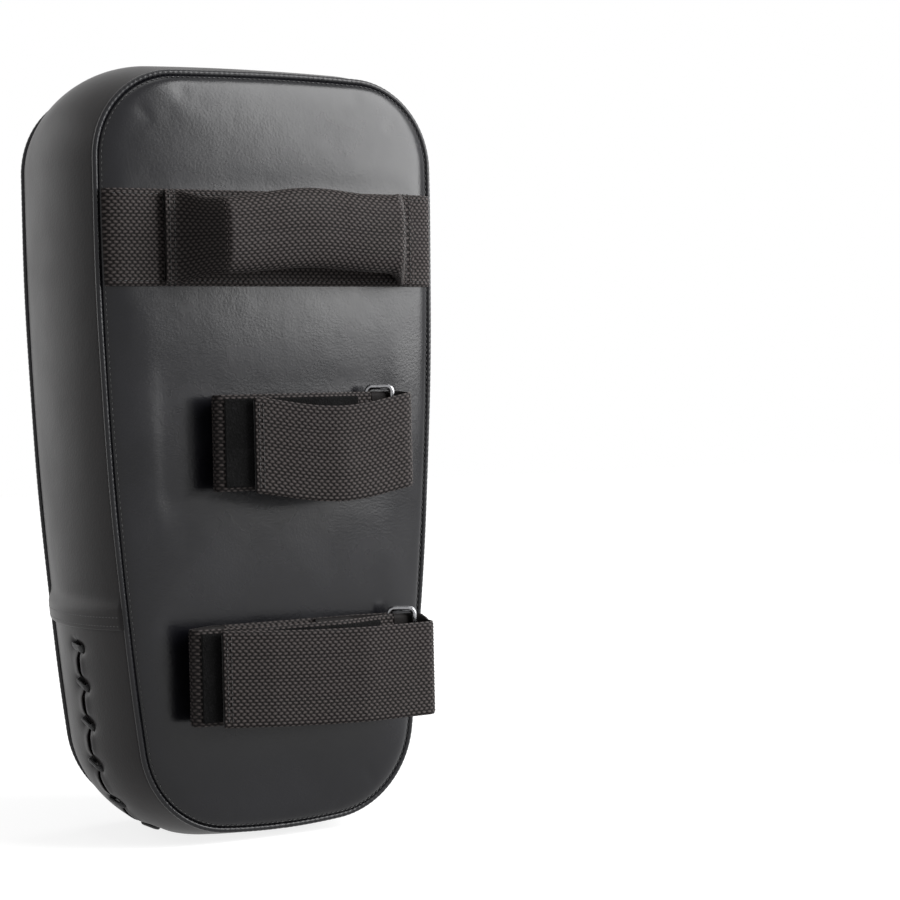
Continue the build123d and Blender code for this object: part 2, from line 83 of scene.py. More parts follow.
away = np.array([
    np.sin(AZIMUTH) * np.cos(ELEVATION),
    -np.cos(AZIMUTH) * np.cos(ELEVATION),
    np.sin(ELEVATION),
])
level = np.cross(-away, [0, 0, 1])
level /= np.linalg.norm(level)
upright = np.cross(level, -away)
right = np.cos(ROLL) * level + np.sin(ROLL) * upright
turned = Matrix(np.stack([right, np.cross(away, right), away], axis=1).tolist()).to_4x4()
camera = bpy.data.objects.new("camera", bpy.data.cameras.new("camera"))
bpy.context.scene.collection.objects.link(camera)
camera.matrix_world = Matrix.Translation((MIDDLE + away * DISTANCE) * MM) @ turned
camera.data.lens, camera.data.sensor_width = LENS, 36
camera.data.shift_x, camera.data.shift_y = SHIFT_X, SHIFT_Y
bpy.context.scene.camera = camera
print("camera at", [round(c, 3) for c in camera.location])

# %% [markdown]
# ## Sizes read from the frame
# The seams, the faces of the pad and the hem are read from the boxes of the CAD nodes, so the
# covers, the cords and the straps made below always meet them.

# %% Sizes
pipe_low, pipe_high = corners("back_piping")
front_low, front_high = corners("front_piping")
PIPE_R = (pipe_high[1] - pipe_low[1]) / 2
PIPE_OUT = 0.3
BOTTOM = pipe_low[2] + PIPE_R + PIPE_OUT
TOP = pipe_high[2] - PIPE_R - PIPE_OUT
SEAM = {-1: (front_low[1] + front_high[1]) / 2, 1: (pipe_low[1] + pipe_high[1]) / 2}
FACE = {-1: corners("front_panel")[0][1], 1: corners("back_panel")[1][1]}
MID_Y = (SEAM[-1] + SEAM[1]) / 2
HALF = (SEAM[1] - SEAM[-1]) / 2
HEM = corners("upper_gusset")[0][2]
LAP = 11.0
BACK = FACE[1]
print(f"seams {BOTTOM:.1f} to {TOP:.1f} high, {2 * HALF:.1f} apart; hem at {HEM:.1f}")

# %% [markdown]
# ## Small tools
# Every shape below is worked out with numpy as whole arrays of points and put into a mesh in one
# go. Three helpers do that: the faces of a grid, the mesh itself, and a smooth reading between
# the points of a grid.


# %% Mesh helpers
def quads(ids, wrap_rows=False, wrap_columns=False):
    """Four-cornered faces between neighbours of a table of point numbers."""
    if wrap_rows:
        ids = np.concatenate([ids, ids[:1]])
    if wrap_columns:
        ids = np.concatenate([ids, ids[:, :1]], axis=1)
    return np.stack([ids[:-1, :-1], ids[:-1, 1:], ids[1:, 1:], ids[1:, :-1]], -1).reshape(-1, 4)


def volume(points, faces):
    """Six times the volume inside closed faces: each face is fanned from its first corner."""
    total = 0.0
    for face in faces:
        first = points[face[:, 0]]
        for k in range(1, face.shape[1] - 1):
            total += np.sum(first * np.cross(points[face[:, k]], points[face[:, k + 1]]))
    return total


def build(name, points, faces, material, out=None, **attributes):
    """A mesh object from points in millimetres and arrays of faces.

    A closed shape is turned so that the volume inside comes out positive; an open sheet is
    turned so that its faces look along `out`, a direction or one direction for each face.
    """
    points = np.asarray(points, float).reshape(-1, 3)
    faces = [f for f in faces if len(f)]
    if out is None:
        wrong = volume(points, faces) < 0
    else:
        first = faces[0]
        a, b, c = (points[first[:, k]] for k in range(3))
        wrong = np.sum(np.cross(b - a, c - a) * out) < 0
    if wrong:
        faces = [f[:, ::-1] for f in faces]
    mesh = bpy.data.meshes.new(name)
    mesh.vertices.add(len(points))
    mesh.vertices.foreach_set("co", (points * MM).astype(np.float32).ravel())
    loops = np.concatenate([f.ravel() for f in faces]).astype(np.int32)
    counts = np.concatenate([np.full(len(f), f.shape[1]) for f in faces])
    mesh.loops.add(len(loops))
    mesh.loops.foreach_set("vertex_index", loops)
    mesh.polygons.add(len(counts))
    starts = np.concatenate([[0], np.cumsum(counts)[:-1]]).astype(np.int32)
    mesh.polygons.foreach_set("loop_start", starts)
    mesh.polygons.foreach_set("use_smooth", np.ones(len(counts), bool))
    mesh.update(calc_edges=True)
    mesh.validate()
    for label, values in attributes.items():
        layer = mesh.attributes.new(label, "FLOAT", "POINT")
        layer.data.foreach_set("value", np.asarray(values, np.float32).ravel())
    mesh.materials.append(material)
    piece = bpy.data.objects.new(name, mesh)
    bpy.context.scene.collection.objects.link(piece)
    return piece


def place(piece, body, slot, *nodes):
    """Let a piece ride on a body and hide the CAD nodes it stands for; the slot is not used."""
    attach(piece, body)
    if nodes:
        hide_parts(*nodes)
    return piece


def solidify(piece, thickness):
    """Give a sheet its thickness, inwards from the face that shows."""
    wall = piece.modifiers.new("thickness", "SOLIDIFY")
    wall.thickness = thickness * MM
    wall.offset = -1
    return piece


def smooth(value, low, high):
    """0 below low, 1 above high, and 3t^2 - 2t^3 between."""
    t = np.clip((value - low) / (high - low), 0, 1)
    return t * t * (3 - 2 * t)


def between(grid, row, column):
    """Read a grid smoothly at fractional rows and columns, which come round on themselves.

    Catmull-Rom: each point is a weighted mean of its 4 by 4 neighbours.
    """
    row, column = np.broadcast_arrays(row, column)
    r, c = np.floor(row).astype(int), np.floor(column).astype(int)

    def weights(t):
        return [
            (-t + 2 * t**2 - t**3) / 2,
            (2 - 5 * t**2 + 3 * t**3) / 2,
            (t + 4 * t**2 - 3 * t**3) / 2,
            (t**3 - t**2) / 2,
        ]

    total = 0
    for i, wr in enumerate(weights(row - r)):
        for j, wc in enumerate(weights(column - c)):
            rows = np.clip(r + i - 1, 0, grid.shape[0] - 1)
            near = grid[rows, (c + j - 1) % grid.shape[1]]
            total = total + near * (wr * wc).reshape(wr.shape + (1,) * (near.ndim - wr.ndim))
    return total


RANDOM = np.random.default_rng(7)
print("helpers ready")

# %% [markdown]
# ## Finishes
# Black things differ only in how they throw light back. Artificial leather has a fine pressed
# grain and a satin skin; webbing has a coarse weave, with painted shade in its gaps and a painted
# sheen on its crowns; pile drinks the light; the ring is dark chrome. Each finish is a small node
# tree on Object coordinates or on the weave height that the mesh carries.


# %% Material helpers
def finish(name, colour, roughness, **sockets):
    """A new material: its node tree, its shader, and a function that adds and wires a node."""
    material = bpy.data.materials.new(name)
    material.use_nodes = True
    tree = material.node_tree
    shader = tree.nodes["Principled BSDF"]
    shader.inputs["Base Color"].default_value = (*colour, 1)
    shader.inputs["Roughness"].default_value = roughness
    for socket, value in sockets.items():
        shader.inputs[socket.replace("_", " ")].default_value = value

    def node(kind, settings=(), **inputs):
        new = tree.nodes.new(kind)
        for key, value in dict(settings).items():
            setattr(new, key, value)
        for key, value in inputs.items():
            socket = new.inputs[int(key[1:])] if key[1:].isdigit() else new.inputs[key.replace("_", " ")]
            if isinstance(value, bpy.types.NodeSocket):
                tree.links.new(value, socket)
            else:
                socket.default_value = value
        return new

    return material, shader, node


def noise(node, place, scale, detail=2.0, roughness=0.5):
    """Soft random values with the given number of cells in a metre."""
    return node("ShaderNodeTexNoise", Vector=place, Scale=scale, Detail=detail, Roughness=roughness)


def shift(node, value, low, high, to_low, to_high):
    """Map a range of values onto another range."""
    return node(
        "ShaderNodeMapRange", Value=value, From_Min=low, From_Max=high, To_Min=to_low, To_Max=to_high
    ).outputs["Result"]


def blend_colours(node, factor, first, second):
    """Mix two colours by a factor."""
    return node(
        "ShaderNodeMix", {"data_type": "RGBA"}, _0=factor, _6=(*first, 1), _7=(*second, 1)
    ).outputs[2]


def bump(node, height, distance, strength=1.0, under=None):
    """Relief of a height in metres."""
    inputs = {"Height": height, "Distance": distance, "Strength": strength}
    if under is not None:
        inputs["Normal"] = under
    return node("ShaderNodeBump", **inputs).outputs["Normal"]


print("material helpers ready")


# %% Leather
def leather(name, colour, lighter, roughness, grain=1.0, gloss=0.5):
    """Pressed grain: 1.1 mm cells with soft creases, wide faint mottling, a satin skin."""
    material, shader, node = finish(name, colour, roughness, Specular_IOR_Level=gloss)
    place = node("ShaderNodeTexCoord").outputs["Object"]
    cells = node("ShaderNodeTexVoronoi", {"feature": "SMOOTH_F1"}, Vector=place, Scale=850.0)
    pores = noise(node, place, 2600.0, 3.0)
    mottle = noise(node, place, 22.0, 4.0)
    dents = noise(node, place, 60.0, 2.0)
    tint = blend_colours(node, shift(node, mottle.outputs[0], 0.35, 0.7, 0, 1), colour, lighter)
    material.node_tree.links.new(tint, shader.inputs["Base Color"])
    uneven = shift(node, mottle.outputs[0], 0.3, 0.7, roughness - 0.04, roughness + 0.05)
    material.node_tree.links.new(uneven, shader.inputs["Roughness"])
    relief = bump(node, dents.outputs[0], 0.0009, 0.14)
    relief = bump(node, cells.outputs[0], 0.00016, 0.55 * grain, relief)
    relief = bump(node, pores.outputs[0], 0.00005, 0.6 * grain, relief)
    material.node_tree.links.new(relief, shader.inputs["Normal"])
    return material


PANEL_LEATHER = leather("panel_leather", (0.0028, 0.0028, 0.0042), (0.005, 0.005, 0.007), 0.26, 0.4, 0.3)
SIDE_LEATHER = leather("side_leather", (0.012, 0.0105, 0.011), (0.017, 0.015, 0.0155), 0.4, 0.6, 0.16)
WELT_LEATHER = leather("welt_leather", (0.006, 0.006, 0.0075), (0.010, 0.010, 0.012), 0.28, 0.4, 0.25)
EDGE_LEATHER = leather("edge_leather", (0.010, 0.010, 0.011), (0.020, 0.019, 0.020), 0.6)


# %% Webbing, lace and thread
def woven(name, shaded_gap, crown, roughness, sheen, specular=0.5):
    """Yarn with fine fibres; its colour follows the weave height: painted shade in the gaps, a painted
    sheen on the crowns.
    """
    material, shader, node = finish(
        name, crown, roughness, Sheen_Weight=sheen, Sheen_Roughness=0.4, Specular_IOR_Level=specular
    )
    place = node("ShaderNodeTexCoord").outputs["Object"]
    height = node("ShaderNodeAttribute", {"attribute_name": "weave"}).outputs["Fac"]
    fibres = noise(node, place, 3500.0, 3.0, 0.7)
    patches = noise(node, place, 45.0, 3.0)
    depth = shift(node, height, 0.4, 1.0, 0, 1)
    # Weave height times fibres: low values give the painted shade of the gaps, high ones the painted sheen
    # of the crowns.
    uneven = node("ShaderNodeMath", {"operation": "MULTIPLY"}, _0=depth, _1=fibres.outputs[0])
    tint = blend_colours(node, shift(node, uneven.outputs[0], 0.05, 0.6, 0, 1), shaded_gap, crown)
    material.node_tree.links.new(tint, shader.inputs["Base Color"])
    rough = shift(node, patches.outputs[0], 0.3, 0.7, roughness - 0.06, roughness + 0.08)
    material.node_tree.links.new(rough, shader.inputs["Roughness"])
    material.node_tree.links.new(bump(node, fibres.outputs[0], 0.00012, 0.7), shader.inputs["Normal"])
    return material


WEBBING = woven("webbing", (0.006, 0.005, 0.005), (0.095, 0.082, 0.079), 0.55, 0.03, 0.08)
LACE = woven("lace", (0.004, 0.004, 0.0045), (0.016, 0.016, 0.017), 0.6, 0.1)
THREAD = woven("thread", (0.004, 0.004, 0.004), (0.022, 0.021, 0.022), 0.42, 0.1)
PILE = woven("pile", (0.002, 0.002, 0.002), (0.011, 0.0105, 0.0115), 0.9, 0.02, 0.1)


# %% Hooks, foam, print and ring
def mottled(name, colour, lighter, roughness, scale, relief, **sockets):
    """A plain surface with fine relief and colour that wanders a little."""
    material, shader, node = finish(name, colour, roughness, **sockets)
    place = node("ShaderNodeTexCoord").outputs["Object"]
    grains = noise(node, place, scale, 4.0, 0.6)
    tint = blend_colours(node, shift(node, grains.outputs[0], 0.3, 0.7, 0, 1), colour, lighter)
    material.node_tree.links.new(tint, shader.inputs["Base Color"])
    rough = shift(node, grains.outputs[0], 0.3, 0.7, roughness - 0.05, roughness + 0.07)
    material.node_tree.links.new(rough, shader.inputs["Roughness"])
    material.node_tree.links.new(bump(node, grains.outputs[0], relief, 0.8), shader.inputs["Normal"])
    return material


HOOKS = mottled("hooks", (0.008, 0.008, 0.008), (0.016, 0.016, 0.016), 0.42, 1500.0, 0.0001)
FIRM_FOAM = mottled("firm_foam", (0.03, 0.03, 0.03), (0.05, 0.05, 0.05), 0.85, 900.0, 0.0003)
CORE_FOAM = mottled("core_foam", (0.5, 0.5, 0.47), (0.6, 0.6, 0.56), 0.85, 700.0, 0.0003)
PRINT = mottled("print", (0.60, 0.62, 0.65), (0.70, 0.72, 0.75), 0.42, 850.0, 0.00012)
RING_STEEL = mottled(
    "ring_steel", (0.20, 0.20, 0.21), (0.34, 0.34, 0.35), 0.2, 500.0, 0.00003, Metallic=1.0
)
print("finishes:", len(bpy.data.materials))

# %% [markdown]
# ## The seam line
# Seen from the front, the pad is a tapered shield: four bowed edges with rounded corners. Each
# edge is an arc of a large circle and each corner an arc of a small one that rolls inside two
# large ones. So every place on the line, and the direction straight out of it, is exact.


# %% Seam line
TOP_HALF, BOTTOM_HALF = 99.6, 76.0
SIDE_BOW, TOP_BOW, BOTTOM_BOW = 8.5, 3.0, 7.7
TOP_R, BOTTOM_R = 46.0, 51.0


def circle_by_three(a, b, c):
    """Centre and radius of the circle through three points."""
    lines = 2 * np.array([b - a, c - a])
    centre = np.linalg.solve(lines, [b @ b - a @ a, c @ c - a @ a])
    return centre, np.linalg.norm(centre - a)


def rolling(first, second, radius, near):
    """Centre of a small circle that touches two large ones from inside, beside a point."""
    (c1, r1), (c2, r2) = first, second
    d1, d2, apart = r1 - radius, r2 - radius, np.linalg.norm(c2 - c1)
    along = (d1**2 - d2**2 + apart**2) / (2 * apart)
    way = (c2 - c1) / apart
    square = np.array([-way[1], way[0]]) * np.sqrt(d1**2 - along**2)
    both = [c1 + way * along + square, c1 + way * along - square]
    return min(both, key=lambda centre: np.linalg.norm(centre - near))


def bearing(vector):
    """The angle of a direction."""
    return np.arctan2(vector[1], vector[0])


low_corner = np.array([BOTTOM_HALF, BOTTOM + BOTTOM_BOW])
high_corner = np.array([TOP_HALF, TOP - TOP_BOW])
side_middle = (low_corner + high_corner) / 2 + [SIDE_BOW, 0]
mirror = np.array([-1, 1])
bottom_edge = circle_by_three(low_corner * mirror, np.array([0, BOTTOM]), low_corner)
side_edge = circle_by_three(low_corner, side_middle, high_corner)
top_edge = circle_by_three(high_corner * mirror, np.array([0, TOP]), high_corner)
low_turn = rolling(bottom_edge, side_edge, BOTTOM_R, low_corner)
high_turn = rolling(side_edge, top_edge, TOP_R, high_corner)
ARC_CENTRE = np.array([bottom_edge[0], low_turn, side_edge[0], high_turn, top_edge[0]])
ARC_R = np.array([bottom_edge[1], BOTTOM_R, side_edge[1], TOP_R, top_edge[1]])
ARC_FROM = np.array([
    -np.pi / 2,
    bearing(low_turn - bottom_edge[0]),
    bearing(low_turn - side_edge[0]),
    bearing(high_turn - side_edge[0]),
    bearing(high_turn - top_edge[0]),
])
ARC_LENGTH = ARC_R * (np.append(ARC_FROM[1:], np.pi / 2) - ARC_FROM)
ARC_START = np.concatenate([[0], np.cumsum(ARC_LENGTH)[:-1]])
ROUND = 2 * ARC_LENGTH.sum()


def seam_line(share):
    """Points (x, z) of the seam, and the way out of it, at shares of its length.

    The share runs from the bottom middle by the +X side, the top and the -X side back to the
    bottom. Each point lies at its arc's centre plus its radius times the way out.
    """
    share = np.mod(share, 1.0)
    run = np.minimum(share, 1 - share) * ROUND
    arc = np.clip(np.searchsorted(ARC_START, run, side="right") - 1, 0, len(ARC_R) - 1)
    angle = ARC_FROM[arc] + (run - ARC_START[arc]) / ARC_R[arc]
    out = np.stack([np.cos(angle), np.sin(angle)], -1)
    point = ARC_CENTRE[arc] + ARC_R[arc][..., None] * out
    hand = np.where(share > 0.5, -1.0, 1.0)[..., None] * [1, 0] + [0, 1]
    return point * hand, out * hand


EDGE, EDGE_OUT = seam_line(np.arange(900) / 900)
EDGE_REACH = np.sum(EDGE * EDGE_OUT, axis=1)


def inset(x, z):
    """How far inside the seam line points lie: the least distance to its tangents."""
    flat = np.stack([np.ravel(x), np.ravel(z)], -1)
    return np.min(EDGE_REACH - flat @ EDGE_OUT.T, axis=1).reshape(np.shape(x))


side_shares = np.linspace(0.02, 0.45, 2000)
side_heights = seam_line(side_shares)[0][:, 1]


def share_at(height):
    """The share at which the +X side of the seam passes a height."""
    return np.interp(height, side_heights, side_shares)


print(f"seam: {ROUND:.0f} mm round, {EDGE[:, 0].max() * 2:.1f} wide")

# %% [markdown]
# ## The cover as one closed form
# Cloth is best settled as the whole cover: two faces and the strip between them, joined at the
# seams. Each face is a ring of rows that follow the seam, then a grid that fills the middle
# (a Coons patch, the way a car body panel is drawn from its four edges). The form starts near
# its final shape; the simulation then lets the leather find its own tension over the stuffing.

# %% Grid of the faces
CROSSWISE, UPWARDS = 38, 86
ROWS_IN = np.array([0, 0.9, 1.8, 3.0, 4.6, 6.8, 9.6, 13.0, 17.0, 21.5])
STRIP_ROWS = 24
CROWN = 9.0
low_share = (ARC_START[1] + ARC_LENGTH[1] / 2) / ROUND
high_share = (ARC_START[3] + ARC_LENGTH[3] / 2) / ROUND
SHARES = np.concatenate([
    np.linspace(-low_share, low_share, CROSSWISE, endpoint=False),
    np.linspace(low_share, high_share, UPWARDS, endpoint=False),
    np.linspace(high_share, 1 - high_share, CROSSWISE, endpoint=False),
    np.linspace(1 - high_share, 1 - low_share, UPWARDS, endpoint=False),
])
AROUND = len(SHARES)
PROFILE = {-1: (18.0, 2.6, 2.2), 1: (13.0, 1.5, 2.0)}


def face_height(side, depth_in):
    """Height of a face above its seam, by distance from the seam line.

    The leather climbs out of the seam like a superellipse, then swells slowly to the middle.
    """
    width, crown, power = PROFILE[side]
    total = abs(FACE[side] - SEAM[side]) - crown
    climb = np.clip((depth_in - 1.0) / width, 0, 1)
    swell = np.clip(depth_in / 75, 0, 1)
    return total * (1 - (1 - climb) ** power) ** (1 / power) + crown * (1 - (1 - swell) ** 2)


def face_grid(side):
    """Points and faces of a pad face: rows along the seam, then a Coons patch."""
    line, out = seam_line(SHARES)
    rings = line[None] - out[None] * ROWS_IN[:, None, None]
    inner = rings[-1]
    a, b = CROSSWISE, CROSSWISE + UPWARDS
    bottom, east = inner[: a + 1], inner[a : b + 1]
    north = inner[b : b + a + 1][::-1]
    west = np.concatenate([inner[b + a :], inner[:1]])[::-1]
    u = np.linspace(0, 1, a + 1)[:, None, None]
    v = np.linspace(0, 1, UPWARDS + 1)[None, :, None]
    patch = (1 - v) * bottom[:, None] + v * north[:, None] + (1 - u) * west[None] + u * east[None]
    patch = patch - (1 - u) * (1 - v) * bottom[0] - u * (1 - v) * bottom[-1]
    patch = patch - (1 - u) * v * north[0] - u * v * north[-1]
    middle = patch[1:-1, 1:-1]
    ring_ids = np.arange(rings.shape[0] * AROUND).reshape(-1, AROUND)
    ids = np.full((a + 1, UPWARDS + 1), -1)
    last = ring_ids[-1]
    ids[:, 0], ids[-1, :] = last[: a + 1], last[a : b + 1]
    ids[:, -1] = last[b : b + a + 1][::-1]
    ids[0, :] = np.append(last[b + a :], last[0])[::-1]
    ids[1:-1, 1:-1] = ring_ids.size + np.arange(middle[..., 0].size).reshape(middle.shape[:2])
    flat = np.concatenate([rings.reshape(-1, 2), middle.reshape(-1, 2)])
    y = SEAM[side] + side * face_height(side, inset(flat[:, 0], flat[:, 1]))
    points = np.stack([flat[:, 0], y, flat[:, 1]], -1)
    return points, np.concatenate([quads(ring_ids, wrap_columns=True), quads(ids)[:, ::-1]])


def strip_surface(share, across, lift=0.0):
    """A point of the side strip: across runs from -1 at the front seam to 1 at the back seam.

    Out of the seam line it bulges by CROWN times 1 - across^2, plus the lift along its normal.
    """
    share, across, lift = np.broadcast_arrays(share, across, lift)
    line, out = seam_line(share)
    slope = np.arctan(2 * CROWN * across / HALF)
    reach = CROWN * (1 - across**2) + lift * np.cos(slope)
    x = line[..., 0] + out[..., 0] * reach
    z = line[..., 1] + out[..., 1] * reach
    return np.stack([x, MID_Y + across * HALF + lift * np.sin(slope), z], -1)


front_points, face_faces = face_grid(-1)
back_points, _ = face_grid(1)
across_rows = np.linspace(-1, 1, STRIP_ROWS + 1)
strip_points = strip_surface(SHARES[None, :], across_rows[1:-1, None])
count = len(front_points)
strip_ids = np.concatenate([
    np.arange(AROUND)[None],
    2 * count + np.arange(strip_points[..., 0].size).reshape(-1, AROUND),
    count + np.arange(AROUND)[None],
])
form_points = np.concatenate([front_points, back_points, strip_points.reshape(-1, 3)])
form_faces = [face_faces, face_faces[:, ::-1] + count, quads(strip_ids, wrap_columns=True)[:, ::-1]]
print(f"form: {len(form_points)} points")

# %% [markdown]
# ## Settling the leather
# The form is run as cloth with a little pressure from inside. The seams, and the places where
# webbing is sewn down, are held; everything else may move by a few millimetres. What comes out
# is the slight, uneven tension of a real cover, which no formula gives.


# %% Cloth
STRAP_NAMES = ("upper", "lower")
WEB = 50.0
strap_tops = {name: corners(f"{name}_strap_base")[1][2] for name in STRAP_NAMES}
handle_low, handle_high = corners("handle_base_strip")


def held(points):
    """1 at the seams, under sewn webbing and on the ground, and less with distance from them."""
    x, y, z = points.T
    seam = 1 - smooth(inset(x, z), 1, 7)
    at_face = smooth(y, SEAM[1] + 1, SEAM[1] + 3)
    sewn = (1 - smooth(np.abs(z - (handle_low[2] + handle_high[2]) / 2), WEB / 2, WEB / 2 + 9)) * at_face
    for top in strap_tops.values():
        under = 1 - smooth(np.abs(z - top + WEB / 2), WEB / 2, WEB / 2 + 10)
        sewn = np.maximum(sewn, under * (1 - smooth(np.abs(x), 62, 74)) * at_face)
    return np.maximum(np.maximum(seam * (np.abs(y - MID_Y) > HALF - 6), sewn), 1 - smooth(z, 2, 8))


def settle(points, faces, pin, pressure, cap):
    """Run closed cloth for twenty frames and return its points, none moved further than cap."""
    form = build("form", points, faces, PANEL_LEATHER)
    form.data.update()
    group = form.vertex_groups.new(name="held")
    for step in range(1, 11):
        chosen = np.flatnonzero(np.round(pin * 10).astype(int) == step)
        group.add(chosen.tolist(), step / 10, "REPLACE")
    cloth = form.modifiers.new("cloth", "CLOTH")
    settings = cloth.settings
    settings.use_pressure, settings.uniform_pressure_force = True, pressure
    settings.vertex_group_mass, settings.pin_stiffness = "held", 1.0
    settings.effector_weights.gravity = 0
    settings.mass, settings.quality = 0.3, 6
    settings.tension_stiffness = settings.compression_stiffness = 25
    settings.bending_stiffness = 2.0
    scene = bpy.context.scene
    for number in range(1, 21):
        scene.frame_set(number)
    shaped = form.evaluated_get(bpy.context.evaluated_depsgraph_get()).data
    result = np.zeros(len(points) * 3, np.float32)
    shaped.vertices.foreach_get("co", result)
    scene.frame_set(1)
    bpy.data.objects.remove(form)
    move = result.reshape(-1, 3) / MM - points
    length = np.linalg.norm(move, axis=1, keepdims=True)
    return points + move * np.minimum(1, cap / np.maximum(length, 1e-9))


settled = form_points
settled = settle(form_points, form_faces, held(form_points), 3.0, 2.6)
moves = np.linalg.norm(settled - form_points, axis=1)
print(f"cloth moved points by {moves.mean():.2f} mm on average and {moves.max():.2f} mm at most")
strip_moves = (settled - form_points)[strip_ids.ravel()].reshape(strip_ids.shape + (3,))

# %% [markdown]
# ## The two faces
# The faces are the settled form itself, subdivided once so that broad reflections run smoothly,
# and given the thickness of the leather inwards.

# %% Faces
LEATHER_THICKNESS = 1.2


def make_face(name, points, side, node):
    """A leather face of the pad, with its thickness."""
    piece = build(name, points, [face_faces], PANEL_LEATHER, out=np.array([0, side, 0]))
    finer = piece.modifiers.new("finer", "SUBSURF")
    finer.levels = finer.render_levels = 1
    solidify(piece, LEATHER_THICKNESS)
    return place(piece, "pad", "cover", node)


front_settled, back_settled = settled[:count], settled[count : 2 * count]
make_face("front_face", front_settled, -1, "front_panel")
make_face("back_face", back_settled, 1, "back_panel")


def height_map(points, side):
    """A lattice of the face's y, two millimetres apart, read off the settled face by rays."""
    tree = BVHTree.FromPolygons(points.tolist(), face_faces.tolist())
    xs = np.arange(-116, 117, 2.0)
    zs = np.arange(-4, 424, 2.0)
    start = SEAM[side] + side * 60
    lattice = np.full((len(zs), len(xs)), SEAM[side])
    for row, z in enumerate(zs):
        for column, x in enumerate(xs):
            hit = tree.ray_cast((x, start, z), (0, -side, 0))[0]
            if hit is not None:
                lattice[row, column] = hit[1]
    return lambda x, z: between(lattice, (z + 4) / 2, (x + 116) / 2)


back_y = height_map(back_settled, 1)
front_y = height_map(front_settled, -1)
print("back face at the middle:", round(float(back_y(np.array([0.0]), np.array([200.0]))[0]), 2))

# %% [markdown]
# ## The side strip and its hem
# The strip between the faces is two pieces of leather. The upper one runs over the top and ends
# in a turned hem on each side; the lower one, the boot, is sewn under it and has a laced slit
# along its middle. Both follow the settled form, with finer rows, and both are pressed flat where
# the pad stands; under the lace the leather dips, so that the lace doesn't carry the pad.

# %% Strip surface
DIP = 3.3
strip_index = np.append(SHARES, SHARES[0] + 1)


def strip(share, across, lift=0.0):
    """The settled strip: the bulged surface, the cloth's moves, and the floor it stands on."""
    share, across, lift = np.broadcast_arrays(share, across, lift)
    point = strip_surface(share, across, lift)
    turned = np.mod(share - SHARES[0], 1.0) + SHARES[0]
    column = np.interp(turned, strip_index, np.arange(AROUND + 1))
    row = (across + 1) / 2 * STRIP_ROWS
    point = point + between(strip_moves, row, column)
    floor = DIP * (1 - smooth(np.abs(point[..., 1] - MID_Y), 7, 13)) + np.minimum(lift, 0) * -1
    above = point[..., 2] - floor
    point[..., 2] = floor + (above + np.sqrt(above**2 + 0.3)) / 2
    return point


def tucked(across):
    """Near the seams the strip turns in under the piping."""
    return -1.3 * smooth(np.abs(across), 1 - 2.4 / HALF, 1)


print("strip at its middle:", strip(np.array([0.25]), np.array([0.0])).round(1))

# %% Upper strip
STRIP_LEATHER = 1.0
share_hem = float(share_at(HEM))
share_lap = float(share_at(HEM + LAP))
MM_SHARE = 1 / ROUND


def upper_profile():
    """The strip along its length at one hem: (share past the hem, lift off the form).

    From the inside end of the turned hem it runs down, round the fold and up the outside, then
    steps down to the form where the boot strip ends under it.
    """
    inner = [(9.5, 0.15), (7, 0.15), (4, 0.15), (2, 0.15)]
    angles = np.linspace(-np.pi / 2, -3 * np.pi / 2, 7)
    fold = [(1.1 + 1.1 * np.cos(a), 1.25 + 1.1 * np.sin(a)) for a in angles]
    outer = [(2.5, 2.4), (4, 2.45), (6, 2.4), (8, 2.4), (10, 2.3), (11.5, 2.0), (13, 1.4)]
    rest = [(14.5, 0.7), (16, 0.25), (18, 0.0)]
    profile = np.array(inner + fold + outer + rest)
    return profile[:, 0] * MM_SHARE, profile[:, 1]


hem_along, hem_lift = upper_profile()
run_along = np.linspace(share_hem + 20 * MM_SHARE, 1 - share_hem - 20 * MM_SHARE, 330)
along = np.concatenate([share_hem + hem_along, run_along, (1 - share_hem - hem_along)[::-1]])
lifts = np.concatenate([hem_lift, np.zeros(len(run_along)), hem_lift[::-1]])
across_fine = np.sin(np.linspace(-np.pi / 2, np.pi / 2, 45))
upper_points = strip(along[:, None], across_fine[None], lifts[:, None] + tucked(across_fine)[None])
upper_ids = np.arange(upper_points[..., 0].size).reshape(upper_points.shape[:2])
upper_strip = build("upper_strip", upper_points, [quads(upper_ids)], SIDE_LEATHER, out=np.zeros(3))


def face_outwards(piece):
    """Turn a sheet's faces so that most of them look away from the pad's middle."""
    mesh = piece.data
    centres, ways = np.zeros(len(mesh.polygons) * 3), np.zeros(len(mesh.polygons) * 3)
    mesh.polygons.foreach_get("center", centres)
    mesh.polygons.foreach_get("normal", ways)
    away_from = centres.reshape(-1, 3) - MIDDLE * MM
    if np.sum(away_from * ways.reshape(-1, 3)) < 0:
        mesh.flip_normals()
    return piece


face_outwards(upper_strip)
solidify(upper_strip, STRIP_LEATHER)
place(upper_strip, "pad", "side_cover", "upper_gusset")
print("upper strip:", len(upper_strip.data.polygons), "faces")

# %% [markdown]
# ## The laced slit
# The boot is opened along its middle to slip the foam in, then laced shut. The lace pulls the two
# edges together at each crossing; between the crossings they gape in small pointed leaves, and the
# leather puckers towards the holes. So the slit's half width is a row of half sine waves, and the
# surface is drawn in near each crossing.

# %% Boot strip
SLIT_END = HEM - 6.0
HOLE_OFF, SLANT, PITCH = 4.5, 1.5, 21.0
share_slit = float(share_at(SLIT_END))
share_last = float(share_at(SLIT_END - HOLE_OFF))
LACED = 2 * share_last * ROUND
BARS = int(LACED // PITCH) + 1
STEP = LACED / (BARS - 1)


def lace_run(share):
    """Distance along the lacing, in bars, at a share; 0 at the first bar, on the -X side."""
    return (share + share_last) * ROUND / STEP


def gape(share):
    """Half the width of the slit."""
    bars = lace_run(share)
    leaf = np.abs(np.sin(np.pi * bars)) ** 0.8
    ends = smooth(share_slit - np.abs(share), 0, 5 * MM_SHARE)
    return (0.45 + 1.9 * leaf) * ends


